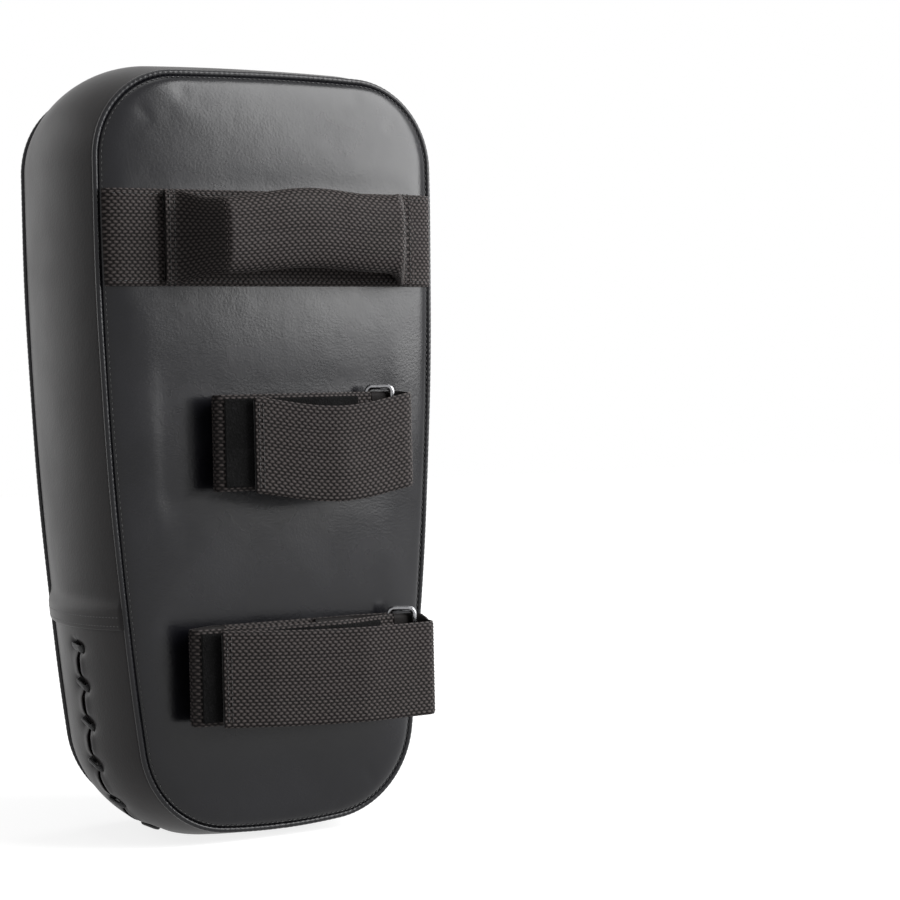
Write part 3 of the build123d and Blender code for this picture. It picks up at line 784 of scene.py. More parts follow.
def pucker(share, y):
    """How far the leather is drawn in round the holes and curls out between them."""
    bars = lace_run(share)
    near = np.abs(y - MID_Y)
    inside = smooth(share_slit - np.abs(share), -4 * MM_SHARE, 6 * MM_SHARE)
    crossing = np.cos(np.pi * bars) ** 4
    drawn = -1.5 * crossing * np.exp(-((near / 9) ** 2)) - 0.7 * np.exp(-((near / 5) ** 2))
    curl = 0.9 * (1 - crossing) * np.exp(-(((near - 2.5) / 3.5) ** 2))
    return (drawn + curl) * inside


def hole_dimples(share, y):
    """Small dents where the lace goes down through the leather."""
    total = np.zeros(np.shape(share))
    for bar in range(BARS):
        for end in (-1, 1):
            hole = -share_last + (bar * STEP + end * SLANT) * MM_SHARE
            far = ((share - hole) * ROUND) ** 2 + (y - MID_Y + end * HOLE_OFF) ** 2
            total -= 1.5 * np.exp(-far / 2.2**2)
    return total


boot_along = np.linspace(-share_lap + 0.3 * MM_SHARE, share_lap - 0.3 * MM_SHARE, 260)
towards = 1 - (1 - np.linspace(0, 1, 34)) ** 1.5
halves = []
for side in (-1, 1):
    edge = MID_Y + side * gape(boot_along)
    y = SEAM[side] + (edge[:, None] - SEAM[side]) * towards[None]
    share = np.broadcast_to(boot_along[:, None], y.shape)
    across = (y - MID_Y) / HALF
    lift = pucker(share, y) + hole_dimples(share, y) + tucked(across)
    halves.append(strip(share, across, lift))
boot_ids = np.arange(halves[0][..., 0].size).reshape(halves[0].shape[:2])
boot_faces = [quads(boot_ids), quads(boot_ids)[:, ::-1] + boot_ids.size]
boot = build("boot_strip", np.concatenate(halves), [np.concatenate(boot_faces)], SIDE_LEATHER, np.zeros(3))
face_outwards(boot)
weld = boot.modifiers.new("join beyond the slit", "WELD")
weld.merge_threshold = 0.02 * MM
solidify(boot, STRIP_LEATHER)
place(boot, "pad", "side_cover", "lower_gusset")
print(f"slit: {BARS} crossings, {STEP:.1f} mm apart")

# %% [markdown]
# ## The lace
# One length of flat woven lace goes over the slit, down a hole, along inside and up the next one,
# sixteen times. Its route is a chain of straight runs, rounded by averaging along the length; its
# section is a flat oval, always turned so that its flat side lies on the leather.

# %% Sweeping a section along a route


def even(route, step):
    """Points evenly spaced along a chain of straight runs."""
    lengths = np.linalg.norm(np.diff(route, axis=0), axis=1)
    run = np.concatenate([[0], np.cumsum(lengths)])
    marks = np.linspace(0, run[-1], int(run[-1] / step) + 2)
    return np.stack([np.interp(marks, run, route[:, k]) for k in range(3)], -1)


def rounded_route(route, step, reach):
    """The route with its corners rounded: a running mean over `reach`, twice, ends kept."""
    points = even(np.asarray(route, float), step)
    width = max(1, int(reach / step)) | 1
    for _ in range(2):
        padded = np.concatenate([
            np.repeat(points[:1], width // 2, 0), points, np.repeat(points[-1:], width // 2, 0)
        ])
        sums = np.cumsum(np.concatenate([np.zeros((1, 3)), padded]), axis=0)
        points = (sums[width:] - sums[:-width]) / width
    return points


def unit(vectors):
    """Vectors made one long."""
    return vectors / np.maximum(np.linalg.norm(vectors, axis=-1, keepdims=True), 1e-9)


def sweep(name, route, wide, section, material, closed=False, scale=None, **attributes):
    """A section (n, 2) carried along a route; its first coordinate lies along `wide`."""
    ahead = np.roll(route, -1, 0) - np.roll(route, 1, 0) if closed else np.gradient(route, axis=0)
    ahead = unit(ahead)
    wide = unit(wide - ahead * np.sum(wide * ahead, axis=1, keepdims=True))
    thick = np.cross(ahead, wide)
    if scale is None:
        scale = np.ones((len(route), 1, 1))
    shape = section[None] * scale
    points = route[:, None] + wide[:, None] * shape[..., :1] + thick[:, None] * shape[..., 1:]
    ids = np.arange(points[..., 0].size).reshape(points.shape[:2])
    faces = [quads(ids, wrap_rows=closed, wrap_columns=True)]
    if not closed:
        faces += [ids[:1][:, ::-1], ids[-1:]]
    return build(name, points, faces, material, **attributes)


def oval(width, thickness, count, power=2.0):
    """A superellipse section."""
    angle = np.linspace(0, 2 * np.pi, count, endpoint=False)
    c, s = np.cos(angle), np.sin(angle)
    return np.stack([
        width / 2 * np.sign(c) * np.abs(c) ** (2 / power),
        thickness / 2 * np.sign(s) * np.abs(s) ** (2 / power),
    ], -1)


# %% Lace
LACE_WIDE, LACE_THICK, DIVE = 4.2, 1.9, 6.0


def lace_place(distance, beside, sink):
    """A point of the lace at a distance from the first bar, beside the slit, under the bars."""
    share = np.clip(distance, 0, LACED) / LACED * 2 * share_last - share_last
    line, out = seam_line(np.array(share))
    reach = CROWN + LACE_THICK / 2 + 0.1 - 1.2
    x, z = line + out * reach
    z = max(z, DIP - 1.2 + LACE_THICK / 2 + 0.2 if abs(x) < 60 else z)
    return np.array([x - out[0] * sink, MID_Y + beside, z - out[1] * sink])


route = [lace_place(0, 2 * HOLE_OFF, DIVE)]
for bar in range(BARS):
    for end in (-1, 1):
        at = bar * STEP + end * SLANT
        hole = [lace_place(at, -end * HOLE_OFF, sink) for sink in (DIVE, 0)]
        route += hole[::-end]
route.append(lace_place(LACED, -2 * HOLE_OFF, DIVE))
lace_line = rounded_route(route, 0.35, 1.7)
slit_way = np.stack([-(lace_line[:, 2] - 150), 0 * lace_line[:, 1], lace_line[:, 0]], -1)
lace_length = np.linalg.norm(np.diff(lace_line, axis=0), axis=1).sum()
around = oval(LACE_WIDE, LACE_THICK, 20, 2.4)
run = np.arange(len(lace_line)) * 0.35
# The strand value, passed as the weave height, also paints the lace paler on each strand and darker
# between strands: painted sheen and painted shade.
strands = 0.5 + 0.5 * np.cos(2 * np.pi * (run[:, None] / 1.5 + np.arange(20)[None] / 20 * 6))
lace_scale = 1 + 0.05 * (strands[..., None] - 0.5)
lace = sweep("lace_cord", lace_line, slit_way, around, LACE, scale=lace_scale, weave=strands)
place(lace, "pad", "lace", "lace")
print(f"lace: {lace_length:.0f} mm")

# %% [markdown]
# ## Piping and stitches
# A welt, a strip of leather rolled over a thin cord, is caught in each seam. The machine's
# stitches pinch it every three millimetres, and beside it the thread itself shows as short
# dashes. Each stitch is a small rounded bead of thread, stretched along the seam and half sunk.

# %% Piping
STITCH = 3.0


def piping(name, side):
    """The welt of a seam: a tube along the seam line, pinched a little at every stitch."""
    marks = np.arange(int(ROUND / 0.75)) / int(ROUND / 0.75)
    line, out = seam_line(marks)
    route = np.stack([line[:, 0], np.full(len(line), SEAM[side]), line[:, 1]], -1)
    way = np.stack([out[:, 0], np.zeros(len(out)), out[:, 1]], -1)
    route += way * (PIPE_OUT + 0.12 * np.sin(marks * ROUND / 17)[:, None])
    route[:, 2] = np.maximum(route[:, 2], PIPE_R + 0.2)
    pinch = 1 - 0.07 * np.cos(np.pi * marks * ROUND / STITCH) ** 8
    section = oval(2 * PIPE_R, 2 * PIPE_R * 0.94, 14)
    tube = sweep(name, route, way, section, WELT_LEATHER, True, pinch[:, None, None])
    return place(tube, "pad", "piping", f"{name.split('_')[0]}_piping")


piping("front_welt", -1)
piping("back_welt", 1)

# %% Stitches


def stitches(name, centres, ways, ups, length, width, body="pad"):
    """A row of thread stitches: beads of six by five points, one at each centre.

    Each bead is an ellipsoid whose long axis lies along its way and whose short one points up.
    """
    centres, ways, ups = (np.asarray(a, float).reshape(-1, 3) for a in (centres, ways, ups))
    ways = unit(ways)
    ups = unit(ups - ways * np.sum(ups * ways, axis=1, keepdims=True))
    sides = np.cross(ways, ups)
    polar = np.linspace(0.25, np.pi - 0.25, 5)[:, None]
    turn = np.linspace(0, 2 * np.pi, 6, endpoint=False)[None]
    a = (np.cos(polar) * np.ones_like(turn)).ravel() * length / 2
    b = (np.sin(polar) * np.cos(turn)).ravel() * width / 2
    c = (np.sin(polar) * np.sin(turn)).ravel() * width / 2
    points = centres[:, None] + (
        ways[:, None] * a[None, :, None]
        + sides[:, None] * b[None, :, None]
        + ups[:, None] * c[None, :, None]
    )
    ids = np.arange(30).reshape(5, 6)
    one = quads(ids, wrap_columns=True)
    starts = (np.arange(len(centres)) * 30)[:, None, None]
    four = (one[None] + starts).reshape(-1, 4)
    caps = np.stack([ids[0][::-1], ids[-1]])
    six = (caps[None] + starts).reshape(-1, 6)
    # This weave value paints each bead paler where it faces up (and down, into the leather) and darker at
    # its flanks: a painted highlight and painted shade on the thread.
    glow = np.tile((0.4 + 0.6 * (c / (width / 2)) ** 2), len(centres))
    return place(build(name, points, [four, six], THREAD, weave=glow), body, "lace")


def row_on(points, ups, pitch):
    """Even marks along a line of points: centres, directions and ups for a row of stitches."""
    lengths = np.linalg.norm(np.diff(points, axis=0), axis=1)
    run = np.concatenate([[0], np.cumsum(lengths)])
    marks = np.arange(pitch / 2, run[-1], pitch)

    def read(table):
        return np.stack([np.interp(marks, run, table[:, k]) for k in range(3)], -1)

    return read(points), read(np.gradient(points, axis=0)), read(np.broadcast_to(ups, points.shape))


seam_marks = np.arange(2200) / 2200
for side, label in ((-1, "front"), (1, "back")):
    line, out = seam_line(seam_marks)
    depth_in = 2.3
    x, z = (line - out * depth_in).T
    y = SEAM[side] + side * (face_height(side, np.full(len(x), depth_in)) + 0.12)
    ups = np.stack([out[:, 0], np.full(len(x), float(side)), out[:, 1]], -1)
    stitches(f"{label}_seam_stitches", *row_on(np.stack([x, y, z], -1), ups, STITCH), 2.0, 0.5)
for hand, label in ((1, "left"), (-1, "right")):
    for number, rise in enumerate((1.4, 6.0)):
        across = np.linspace(-0.965, 0.965, 120)
        base = share_hem + (rise + 1.1) * MM_SHARE
        share = base if hand > 0 else 1 - base
        points = strip(np.full(120, share), across, np.full(120, 2.35))
        ups = strip(np.full(120, share), across, np.full(120, 5.0)) - points
        stitches(f"{label}_hem_stitches_{number}", *row_on(points, ups, 2.6), 1.7, 0.5)
print("seams and hems stitched")

# %% [markdown]
# ## Webbing
# The straps and the handle are coarse woven belt, 50 mm wide and 2 mm thick. Warp yarns lie side
# by side; each floats over the weft for a few millimetres and dips under it, neighbours take
# turns and lean opposite ways, so that the crowns read as rows of small chevrons. The weave is
# real relief on the face that shows: a belt is a surface function of the distance along and the
# distance over, offset by half its thickness and by the height of the weave.

# %% Weave
YARN, FLOAT = 1.72, 3.4
BELT = 2.0
FINE = 0.45


def weave_height(along, over):
    """0 in the gaps to 1 on the crowns: a half ellipse across each yarn times a half sine."""
    column = np.floor(over / YARN)
    odd = np.mod(column, 2)
    phase = np.mod(along / FLOAT + 0.5 * odd, 1.0)
    off_centre = over / YARN - column - 0.5 + (odd - 0.5) * 0.5 * (phase - 0.5)
    crown = np.sqrt(np.clip(1 - (2 * off_centre) ** 2, 0, 1))
    return crown * np.sin(np.pi * phase) ** 0.7


def belt(name, surface, length, width, face, material=None, thickness=BELT, step=FINE, relief=0.5,
         pattern=weave_height, inner_count=22):
    """A closed belt round a middle surface.

    `surface(along, over)` gives points and normals; face 1 shows on the normals' side and carries
    the fine weave, the other side is plain. Rows run over the showing face and back inside.
    """
    rows = np.linspace(0, length, int(length / step) + 2)
    fine = np.linspace(-width / 2, width / 2, int(width / step) + 2)
    coarse = np.linspace(width / 2, -width / 2, inner_count)
    over = np.concatenate([fine, coarse])[None]
    along = rows[:, None]
    points, normals = surface(along, over)
    outer = np.concatenate([np.ones(len(fine)), -np.ones(len(coarse))])[None]
    height = pattern(along + np.zeros_like(over), over + np.zeros_like(along))
    # The plain side gets a weave value of 0.45, which gives it the painted-shade colour of the gaps.
    height = np.where(outer > 0, height, 0.45)
    selvedge = 1 - 0.55 * smooth(np.abs(over), width / 2 - 1.1, width / 2)
    offset = outer * thickness / 2 * selvedge + np.where(outer > 0, (height - 0.6) * relief, 0)
    points = points + normals * (face * offset)[..., None]
    ids = np.arange(points[..., 0].size).reshape(points.shape[:2])
    faces = [quads(ids, wrap_columns=True), ids[:1][:, ::-1], ids[-1:]]
    return build(name, points, faces, material or WEBBING, weave=height)


def plan_line(route, bends, step=0.4):
    """Straight runs in plan joined by arcs of the given radii, as evenly spaced points."""
    route = np.array(route, float)
    points = [route[:1]]
    for corner, before, after, radius in zip(route[1:-1], route[:-2], route[2:], bends):
        a, b = unit(corner - before), unit(after - corner)
        side = np.sign(a[0] * b[1] - a[1] * b[0])
        turn = np.arccos(np.clip(a @ b, -1, 1))
        start = corner - a * radius * np.tan(turn / 2)
        centre = start + side * radius * np.array([-a[1], a[0]])
        angles = side * np.linspace(0, turn, int(radius * turn / step) + 2)
        arm = start - centre
        c, s = np.cos(angles), np.sin(angles)
        points.append(centre + np.stack([c * arm[0] - s * arm[1], s * arm[0] + c * arm[1]], -1))
    points.append(route[-1:])
    dense = np.concatenate(points)
    lengths = np.linalg.norm(np.diff(dense, axis=0), axis=1)
    keep = np.append(True, lengths > 1e-6)
    dense = dense[keep]
    run = np.concatenate([[0], np.cumsum(np.linalg.norm(np.diff(dense, axis=0), axis=1))])
    marks = np.linspace(0, run[-1], int(run[-1] / step) + 2)
    return np.stack([np.interp(marks, run, dense[:, k]) for k in (0, 1)], -1), run[-1]


def strap_surface(line, length, middle, sag=None):
    """A belt's middle surface over a plan line: u to -X, v off the back face, over down -Z."""
    marks = np.linspace(0, length, len(line))
    ahead = unit(np.gradient(line, axis=0))

    def surface(along, over):
        along, over = np.broadcast_arrays(along, over)
        u, v = (np.interp(along, marks, line[:, k]) for k in (0, 1))
        way = unit(np.stack([np.interp(along, marks, ahead[:, k]) for k in (0, 1)], -1))
        z = middle - over + (0 if sag is None else sag(u, v, along / length))
        x = -u + 0 * z
        lying = 1 - smooth(v, 3, 12)
        y = BACK + v + (back_y(x, np.clip(z, 5, 405)) - BACK + 0.1) * lying
        normal = np.stack([way[..., 1] + 0 * z, way[..., 0] + 0 * z, 0 * z], -1)
        return np.stack([x, y, z], -1), normal

    return surface


print("weave ready")

# %% [markdown]
# ## The straps
# One belt makes a whole strap: sewn flat to the back, folded up at the free side, led over the
# forearm space and through the ring, turned round it, and pressed back on itself with hook and
# loop; its free end can be peeled open. Here it is three pieces of belt: the base, the loop as
# far as the ring, and the turn with the flap, drawn with a crease beside the ring.

# %% Strap sizes
WIRE = 3.0
TAPE = 1.2
TAPE_WIDTH = 46.0
RING_RISE = 6.4
FOLD_R = WIRE / 2 + 0.3 + BELT / 2
PASS_RISE = RING_RISE + FOLD_R + BELT + 0.4
TURN_REACH = 16.4
FOLD_OVER = 3 * BELT + TAPE
TURN_TOP = PASS_RISE + 2 * FOLD_OVER + 1.6
FLAP_START, FLAP_CREST = TURN_TOP + 1.0, TURN_TOP + 2.6
LOOP_LOW, LOOP_HIGH, LOOP_CREST = 9.4, 15.4, 21.0
SEWN, HOOK_GAP = 0.02, 0.45
LAYERS = BELT + 2 * (SEWN + TAPE) + HOOK_GAP
TAPE_OFF = (BELT + TAPE) / 2 + SEWN
LONG_BEND, SHORT_BEND = 60.0, 40.0  # radii of the strap's two easy bends
CREASE_IN, CREASE_V, PEEL_RAMP = 2.0, 29.6, 15.0  # where the flap begins to bend, and over what
joint_places = {joint["name"]: np.array(joint["pos_m"]) / MM for joint in frame["joints"]}
SAG = {"upper": (1.2, 7.0, 0.6), "lower": (0.8, 3.2, 3.6)}


def side_by(route, distance):
    """A plan route moved to the left of the way it runs, its corners mitred."""
    route = np.array(route, float)
    ways = unit(np.diff(route, axis=0))
    lefts = np.stack([-ways[:, 1], ways[:, 0]], -1)
    mitres = lefts[:-1] + lefts[1:]
    inner = route[1:-1] + mitres * (2 * distance / np.sum(mitres**2, axis=1))[:, None]
    return np.concatenate([[route[0] + lefts[0] * distance], inner, [route[-1] + lefts[-1] * distance]])


def fuzz(along, over):
    """Pile: tangled little loops, as a sum of crossing waves with a random part."""
    base = 0.5 + 0.2 * np.sin(along * 5.1 + 1.7 * np.sin(over * 3.3)) * np.sin(over * 4.7)
    return np.clip(base + RANDOM.normal(0, 0.22, np.shape(base)), 0, 1)


def hook_rows(along, over):
    """Hook tape: rows of small studs."""
    return np.clip(np.sin(np.pi * along / 1.3) * np.sin(np.pi * over / 1.1), 0, 1) ** 0.7


# %% Making a strap


def make_strap(name):
    """The base, loop, turn and flap of one strap, with its two tapes and its stitches."""
    pad_body, flap_body = "pad", f"{name}_flap_body"
    top = strap_tops[name]
    middle = top - WEB / 2
    ring = -joint_places[f"{name}_ring_swing"][0]
    turn = BELT / 2 - corners(f"{name}_strap_loop")[1][0]
    flap_end = -corners(f"{name}_flap")[1][0]
    far = ring + TURN_REACH
    left_sag, middle_sag, right_sag = SAG[name]

    def hang(u, v, share):
        """How far the flap hangs down: least at its ends and most in the middle."""
        t = np.clip((u - flap_end) / (far - flap_end), 0, 1)
        drop = left_sag * (1 - t) + right_sag * t
        drop = drop + (middle_sag - (left_sag + right_sag) / 2) * np.sin(np.pi * t) ** 1.3
        return -drop * smooth(v, PASS_RISE + 1, PASS_RISE + 9)

    base_route = [
        (turn + 24.5, BELT / 2), (ring - 17, BELT / 2), (ring + FOLD_R, RING_RISE - FOLD_R),
        (ring + FOLD_R, RING_RISE + 1.3 * FOLD_R), (ring - 22, 1.5 * BELT + 0.15),
        (ring - 45, 1.5 * BELT + 0.15),
    ]
    line, length = plan_line(base_route, [20, FOLD_R, FOLD_R, 12])
    base = belt(f"{name}_base_belt", strap_surface(line, length, middle), length, WEB, 1, step=0.6)
    place(base, pad_body, "webbing", f"{name}_strap_base")

    crest = [(turn + 34.5, LOOP_CREST - 0.6), (ring - 37, LOOP_CREST)]
    standing = [(turn, LOOP_HIGH), *crest, (ring - 7, PASS_RISE)]
    loop_route = [(turn + 24.5, BELT / 2), (turn + 17.5, BELT / 2), (turn, LOOP_LOW), *standing]
    loop_route.append((ring - 1.2, PASS_RISE))
    fold = 1.4 * BELT
    line, length = plan_line(loop_route, [12, fold, fold, LONG_BEND, SHORT_BEND, 18])
    loop = belt(f"{name}_loop_belt", strap_surface(line, length, middle), length, WEB, 1)
    place(loop, pad_body, "webbing", f"{name}_strap_loop")

    first, second, third, last = (np.array(corner) for corner in standing)
    pile_route = [first + unit(second - first) * 3, second, third, third + (last - third) * 0.85]
    pile_route = side_by(pile_route, TAPE_OFF)
    line, length = plan_line(pile_route, [LONG_BEND + TAPE_OFF, SHORT_BEND + TAPE_OFF])
    pile = belt(
        f"{name}_pile", strap_surface(line, length, middle), length, TAPE_WIDTH, 1, PILE, TAPE,
        relief=0.5, pattern=fuzz,
    )
    place(pile, pad_body, "pile", f"{name}_pile_tape")

    way = unit(second - first)
    lift = np.array([-way[1], way[0]]) * LAYERS
    pressed = second + lift + way * 6
    end = first + lift + way * ((flap_end + 0.6 - first[0] - lift[0]) / way[0])
    crease = (ring - CREASE_IN, FLAP_START)
    flap_route = [crease, (ring - 29, FLAP_CREST), pressed, end]
    whole = [(ring - 0.9, PASS_RISE), (far, PASS_RISE), (far, TURN_TOP), *flap_route]
    line, total = plan_line(whole, [FOLD_OVER, FOLD_OVER, 400, LONG_BEND, SHORT_BEND])
    surface = strap_surface(line, total, middle, hang)
    flap = belt(f"{name}_flap_belt", surface, total, WEB, -1)
    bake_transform(flap)
    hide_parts(f"{name}_flap")

    hook_route = side_by([(ring - 6, FLAP_START + 0.25), *flap_route[1:]], TAPE_OFF)
    line, length = plan_line(hook_route, [LONG_BEND - TAPE_OFF, SHORT_BEND + TAPE_OFF])
    hooks = belt(
        f"{name}_hooks", strap_surface(line, length, middle, hang), length, TAPE_WIDTH, 1, HOOKS, TAPE,
        step=0.5, relief=0.4, pattern=hook_rows,
    )
    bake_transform(hooks)
    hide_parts(f"{name}_hook_tape")

    over = np.linspace(-WEB / 2 + 2.5, WEB / 2 - 2.5, 60)
    for number, back_off in enumerate((2.0, 4.2)):
        spots, ups = surface(np.full((1, 60), total - back_off), over[None])
        spots, ups = spots[0] - ups[0] * (BELT / 2 + 0.25), -ups[0]
        stitches(f"{name}_flap_stitches_{number}", *row_on(spots, ups, 2.8), 1.9, 0.5, flap_body)
    print(f"{name} strap: flap belt {total:.0f} mm, {len(flap.data.polygons)} faces")


for name in STRAP_NAMES:
    make_strap(name)

# %% [markdown]
# ## The handle
# A strip of belt lies flat across the back from seam to seam. On it sits the grip: a wider belt
# wrapped round a foam rod, whose ends are pressed flat and sewn down. The wrap keeps its length
# round the rod, so where it is flat it is as wide as the strip, and where it is round it is
# narrower. It arches a little, and its edges wander as thick belt does.

# %% Strip under the handle
edge_side = seam_line(np.linspace(0.2, 0.46, 400))[0]
HANDLE_Z = (handle_low[2] + handle_high[2]) / 2


def strip_under_handle(along, over):
    """The flat strip: its length is stretched to the seam at each height."""
    z = HANDLE_Z - over + 0 * along
    half = np.interp(z, edge_side[:, 1], edge_side[:, 0]) - 1.9
    x = (along - 105) / 105 * half
    y = back_y(x, z) + BELT / 2 - 0.05
    slope = (back_y(x + 1, z) - back_y(x - 1, z)) / 2
    normal = unit(np.stack([-slope, np.ones_like(z), 0 * z], -1))
    return np.stack([x, y, z], -1), normal


flat_strip = belt("handle_flat_belt", strip_under_handle, 210.0, WEB, 1)
place(flat_strip, "pad", "webbing", "handle_base_strip")
for number, over in enumerate((-WEB / 2 + 2.6, WEB / 2 - 2.6)):
    runs = np.linspace(3, 207, 400)
    spots, ups = strip_under_handle(runs[:, None], np.full((1, 1), over))
    spots, ups = spots[:, 0] + ups[:, 0] * (BELT / 2 + 0.22), ups[:, 0]
    stitches(f"handle_flat_stitches_{number}", *row_on(spots, ups, 3.0), 2.0, 0.5)

# %% Grip
sleeve_low, sleeve_high = corners("handle_sleeve")
GRIP_FROM, GRIP_TO = -sleeve_high[0], -sleeve_low[0]
END_REACH = 22.0
GRIP_V = (sleeve_low[1] + sleeve_high[1]) / 2 - BACK
GRIP_DEEP = (sleeve_high[1] - sleeve_low[1]) / 2
GRIP_TALL = (sleeve_high[2] - sleeve_low[2]) / 2
section_turn = np.linspace(-np.pi + 0.42, np.pi - 0.42, 400)


def rounded_sign(value, power):
    """A power that keeps its sign."""
    return np.sign(value) * np.abs(value) ** power


section_y = GRIP_DEEP * rounded_sign(np.cos(section_turn), 0.72)
section_z = GRIP_TALL * rounded_sign(np.sin(section_turn), 0.72)
section_run = np.concatenate([[0], np.cumsum(np.hypot(np.diff(section_y), np.diff(section_z)))])
WRAP = section_run[-1]


def through(u, places, values):
    """A smooth wave through values at places: smoothsteps from each to the next."""
    wave = np.full(np.shape(u), float(values[0]))
    for low, high, before, after in zip(places[:-1], places[1:], values[:-1], values[1:]):
        wave = wave + (after - before) * smooth(u, low, high)
    return wave


GRIP_MIDDLE = (GRIP_FROM + GRIP_TO) / 2
GRIP_PLACES = (GRIP_FROM - 16, GRIP_FROM - 3, GRIP_MIDDLE, GRIP_TO - 9, GRIP_TO + 15)


def grip_shape(u):
    """Half depth, half height, distance off the panel and rise of the grip at a place across."""
    climb = smooth(u, GRIP_FROM - 17, GRIP_FROM + 3) * (1 - smooth(u, GRIP_TO - 3, GRIP_TO + 18))
    deep = 1.9 + (GRIP_DEEP - 1.9) * climb ** 0.8
    tall = through(u, GRIP_PLACES, (24.2, 19.6, 20.7, 20.3, 24.6))
    off = 3.9 + (GRIP_V - 3.9) * climb
    rise = through(u, GRIP_PLACES, (0.0, -0.3, 4.2, 1.4, 0.0))
    return deep, tall, off, rise


reach_marks = np.linspace(GRIP_FROM - END_REACH, GRIP_TO + END_REACH, 1200)
reach_deep, _, reach_off, _ = grip_shape(reach_marks)
reach_steps = np.hypot(np.diff(reach_marks), np.diff(reach_off + reach_deep))
reach_run = np.concatenate([[0], np.cumsum(reach_steps)])


def grip_length(start, end):
    """The length of belt between two places across, measured over its outer side."""
    return float(np.interp(end, reach_marks, reach_run) - np.interp(start, reach_marks, reach_run))


def grip_surface(start, shrink=0.0):
    """The wrap's middle surface from a place across on: along is to the ring side."""

    def surface(along, over):
        run = np.interp(start, reach_marks, reach_run) + along
        u = np.interp(run, reach_run, reach_marks) + 0 * over
        turn = np.interp(over + WRAP / 2, section_run, section_turn) + 0 * along
        deep, tall, off, rise = grip_shape(u)
        deep, tall = deep - BELT / 2 - shrink, tall - BELT / 2 - shrink
        c, s = np.cos(turn), np.sin(turn)
        y = BACK + off + deep * rounded_sign(c, 0.72)
        z = HANDLE_Z + rise + tall * rounded_sign(s, 0.72)
        normal = unit(np.stack([0 * u, c * tall, s * deep], -1))
        return np.stack([-u, y, z], -1), normal

    return surface


sleeve_length = grip_length(GRIP_FROM, GRIP_TO)
sleeve = belt("grip_sleeve", grip_surface(GRIP_FROM), sleeve_length, WRAP, 1, inner_count=60)
place(sleeve, "grip", "webbing", "handle_sleeve")
for label, start, outer_end, inner_end in (
    ("left", GRIP_FROM - END_REACH, GRIP_FROM - END_REACH + 4, GRIP_FROM),
    ("right", GRIP_TO, GRIP_TO + END_REACH - 4, GRIP_TO),
):
    length = grip_length(start, start + END_REACH)
    end = belt(f"grip_{label}_end", grip_surface(start), length, WRAP, 1, inner_count=60)
    low_z, off = HANDLE_Z * MM, (BACK + 4) * MM
    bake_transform(end)
    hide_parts(f"handle_{label}_end")
    over = np.linspace(-30, 30, 90)
    for number, inwards in enumerate((2.2, 5.0)):
        along = inwards if label == "left" else length - inwards
        spots, ups = grip_surface(start)(np.full((1, 90), along), over[None])
        spots, ups = spots[0] + ups[0] * (BELT / 2 + 0.25), ups[0]
        stitches(f"grip_{label}_stitches_{number}", *row_on(spots, ups, 2.8), 1.9, 0.55)

core_turns = np.linspace(0, 2 * np.pi, 48, endpoint=False)[None]
core_across = np.linspace(GRIP_FROM + 0.3, GRIP_TO - 0.3, 60)[:, None]
deep, tall, off, rise = grip_shape(core_across)
core_points = np.stack([
    -core_across + 0 * core_turns,
    BACK + off + (deep - 2.9) * rounded_sign(np.cos(core_turns), 0.72),
    HANDLE_Z + rise + (tall - 2.9) * rounded_sign(np.sin(core_turns), 0.72),
], -1)
core_ids = np.arange(core_points[..., 0].size).reshape(core_points.shape[:2])
core_faces = [quads(core_ids, wrap_columns=True), core_ids[:1][:, ::-1], core_ids[-1:]]
core = build("grip_core", core_points, core_faces, FIRM_FOAM)
place(core, "grip", "grip_foam", "handle_core")
print(f"grip: belt {WRAP:.0f} mm wide round the rod")

# %% [markdown]
# ## The printed marks
# The striking face carries a pale band from side to side and a round mark near its head. They are
# a thin flexible film, so each is a grid laid on the face and following its every swell.

# %% Prints
FILM = 0.25
band_low, band_high = corners("front_band")
roundel_low, roundel_high = corners("front_roundel")


def film(name, x, z, wrap, node):
    """A printed film: a grid of places on the front face, a quarter of a millimetre proud."""
    y = front_y(x, z)
    front = np.stack([x, y - FILM, z], -1)
    behind = np.stack([x, y + 0.3, z], -1)
    ids = np.arange(x.size).reshape(x.shape)
    loop = [ids[0], ids[-1][::-1]] if wrap else []
    border = np.concatenate([ids[0], ids[1:, -1], ids[-1, -2::-1], ids[-2:0:-1, 0]])
    faces = [quads(ids, wrap_columns=wrap), quads(ids, wrap_columns=wrap)[:, ::-1] + ids.size]
    rims = [ids[0], ids[-1][::-1]] if wrap else [border]
    for rim in rims:
        edge = np.stack([rim, rim + ids.size])
        faces.append(quads(edge, wrap_columns=True))
    points = np.concatenate([front.reshape(-1, 3), behind.reshape(-1, 3)])
    return place(build(name, points, [np.concatenate(faces)], PRINT), "pad", "print", node)


z = np.linspace(band_low[2], band_high[2], 22)[:, None]
edge_low = seam_line(np.linspace(0.04, 0.4, 900))[0]
half = np.interp(z, edge_low[:, 1], edge_low[:, 0]) - 4.0
film("pale_band", np.linspace(-1, 1, 160)[None] * half, z + np.zeros((1, 160)), False, "front_band")
centre_z = (roundel_low[2] + roundel_high[2]) / 2
turns = np.linspace(0, 2 * np.pi, 128, endpoint=False)[None]
rings = np.linspace(22.0, 29.0, 8)[:, None]
film("round_mark_ring", rings * np.cos(turns), centre_z + rings * np.sin(turns), True, "front_roundel")
dots = np.linspace(0.02, 10.0, 9)[:, None]
film("round_mark_dot", dots * np.cos(turns), centre_z + dots * np.sin(turns), True, "front_roundel")

# %% [markdown]
# ## Inside
# The stuffing is three layers of foam cut to the cover's shape. Nobody sees them, yet they are
# there, as the real ones are: each is a stack of outlines, drawn in from the seam line to stay
# under the leather, and drawn in further behind the slit, where the tongue lies.

# %% Foam
STRIKE_END = corners("strike_foam")[1][1]
BACK_START = corners("back_foam")[0][1]


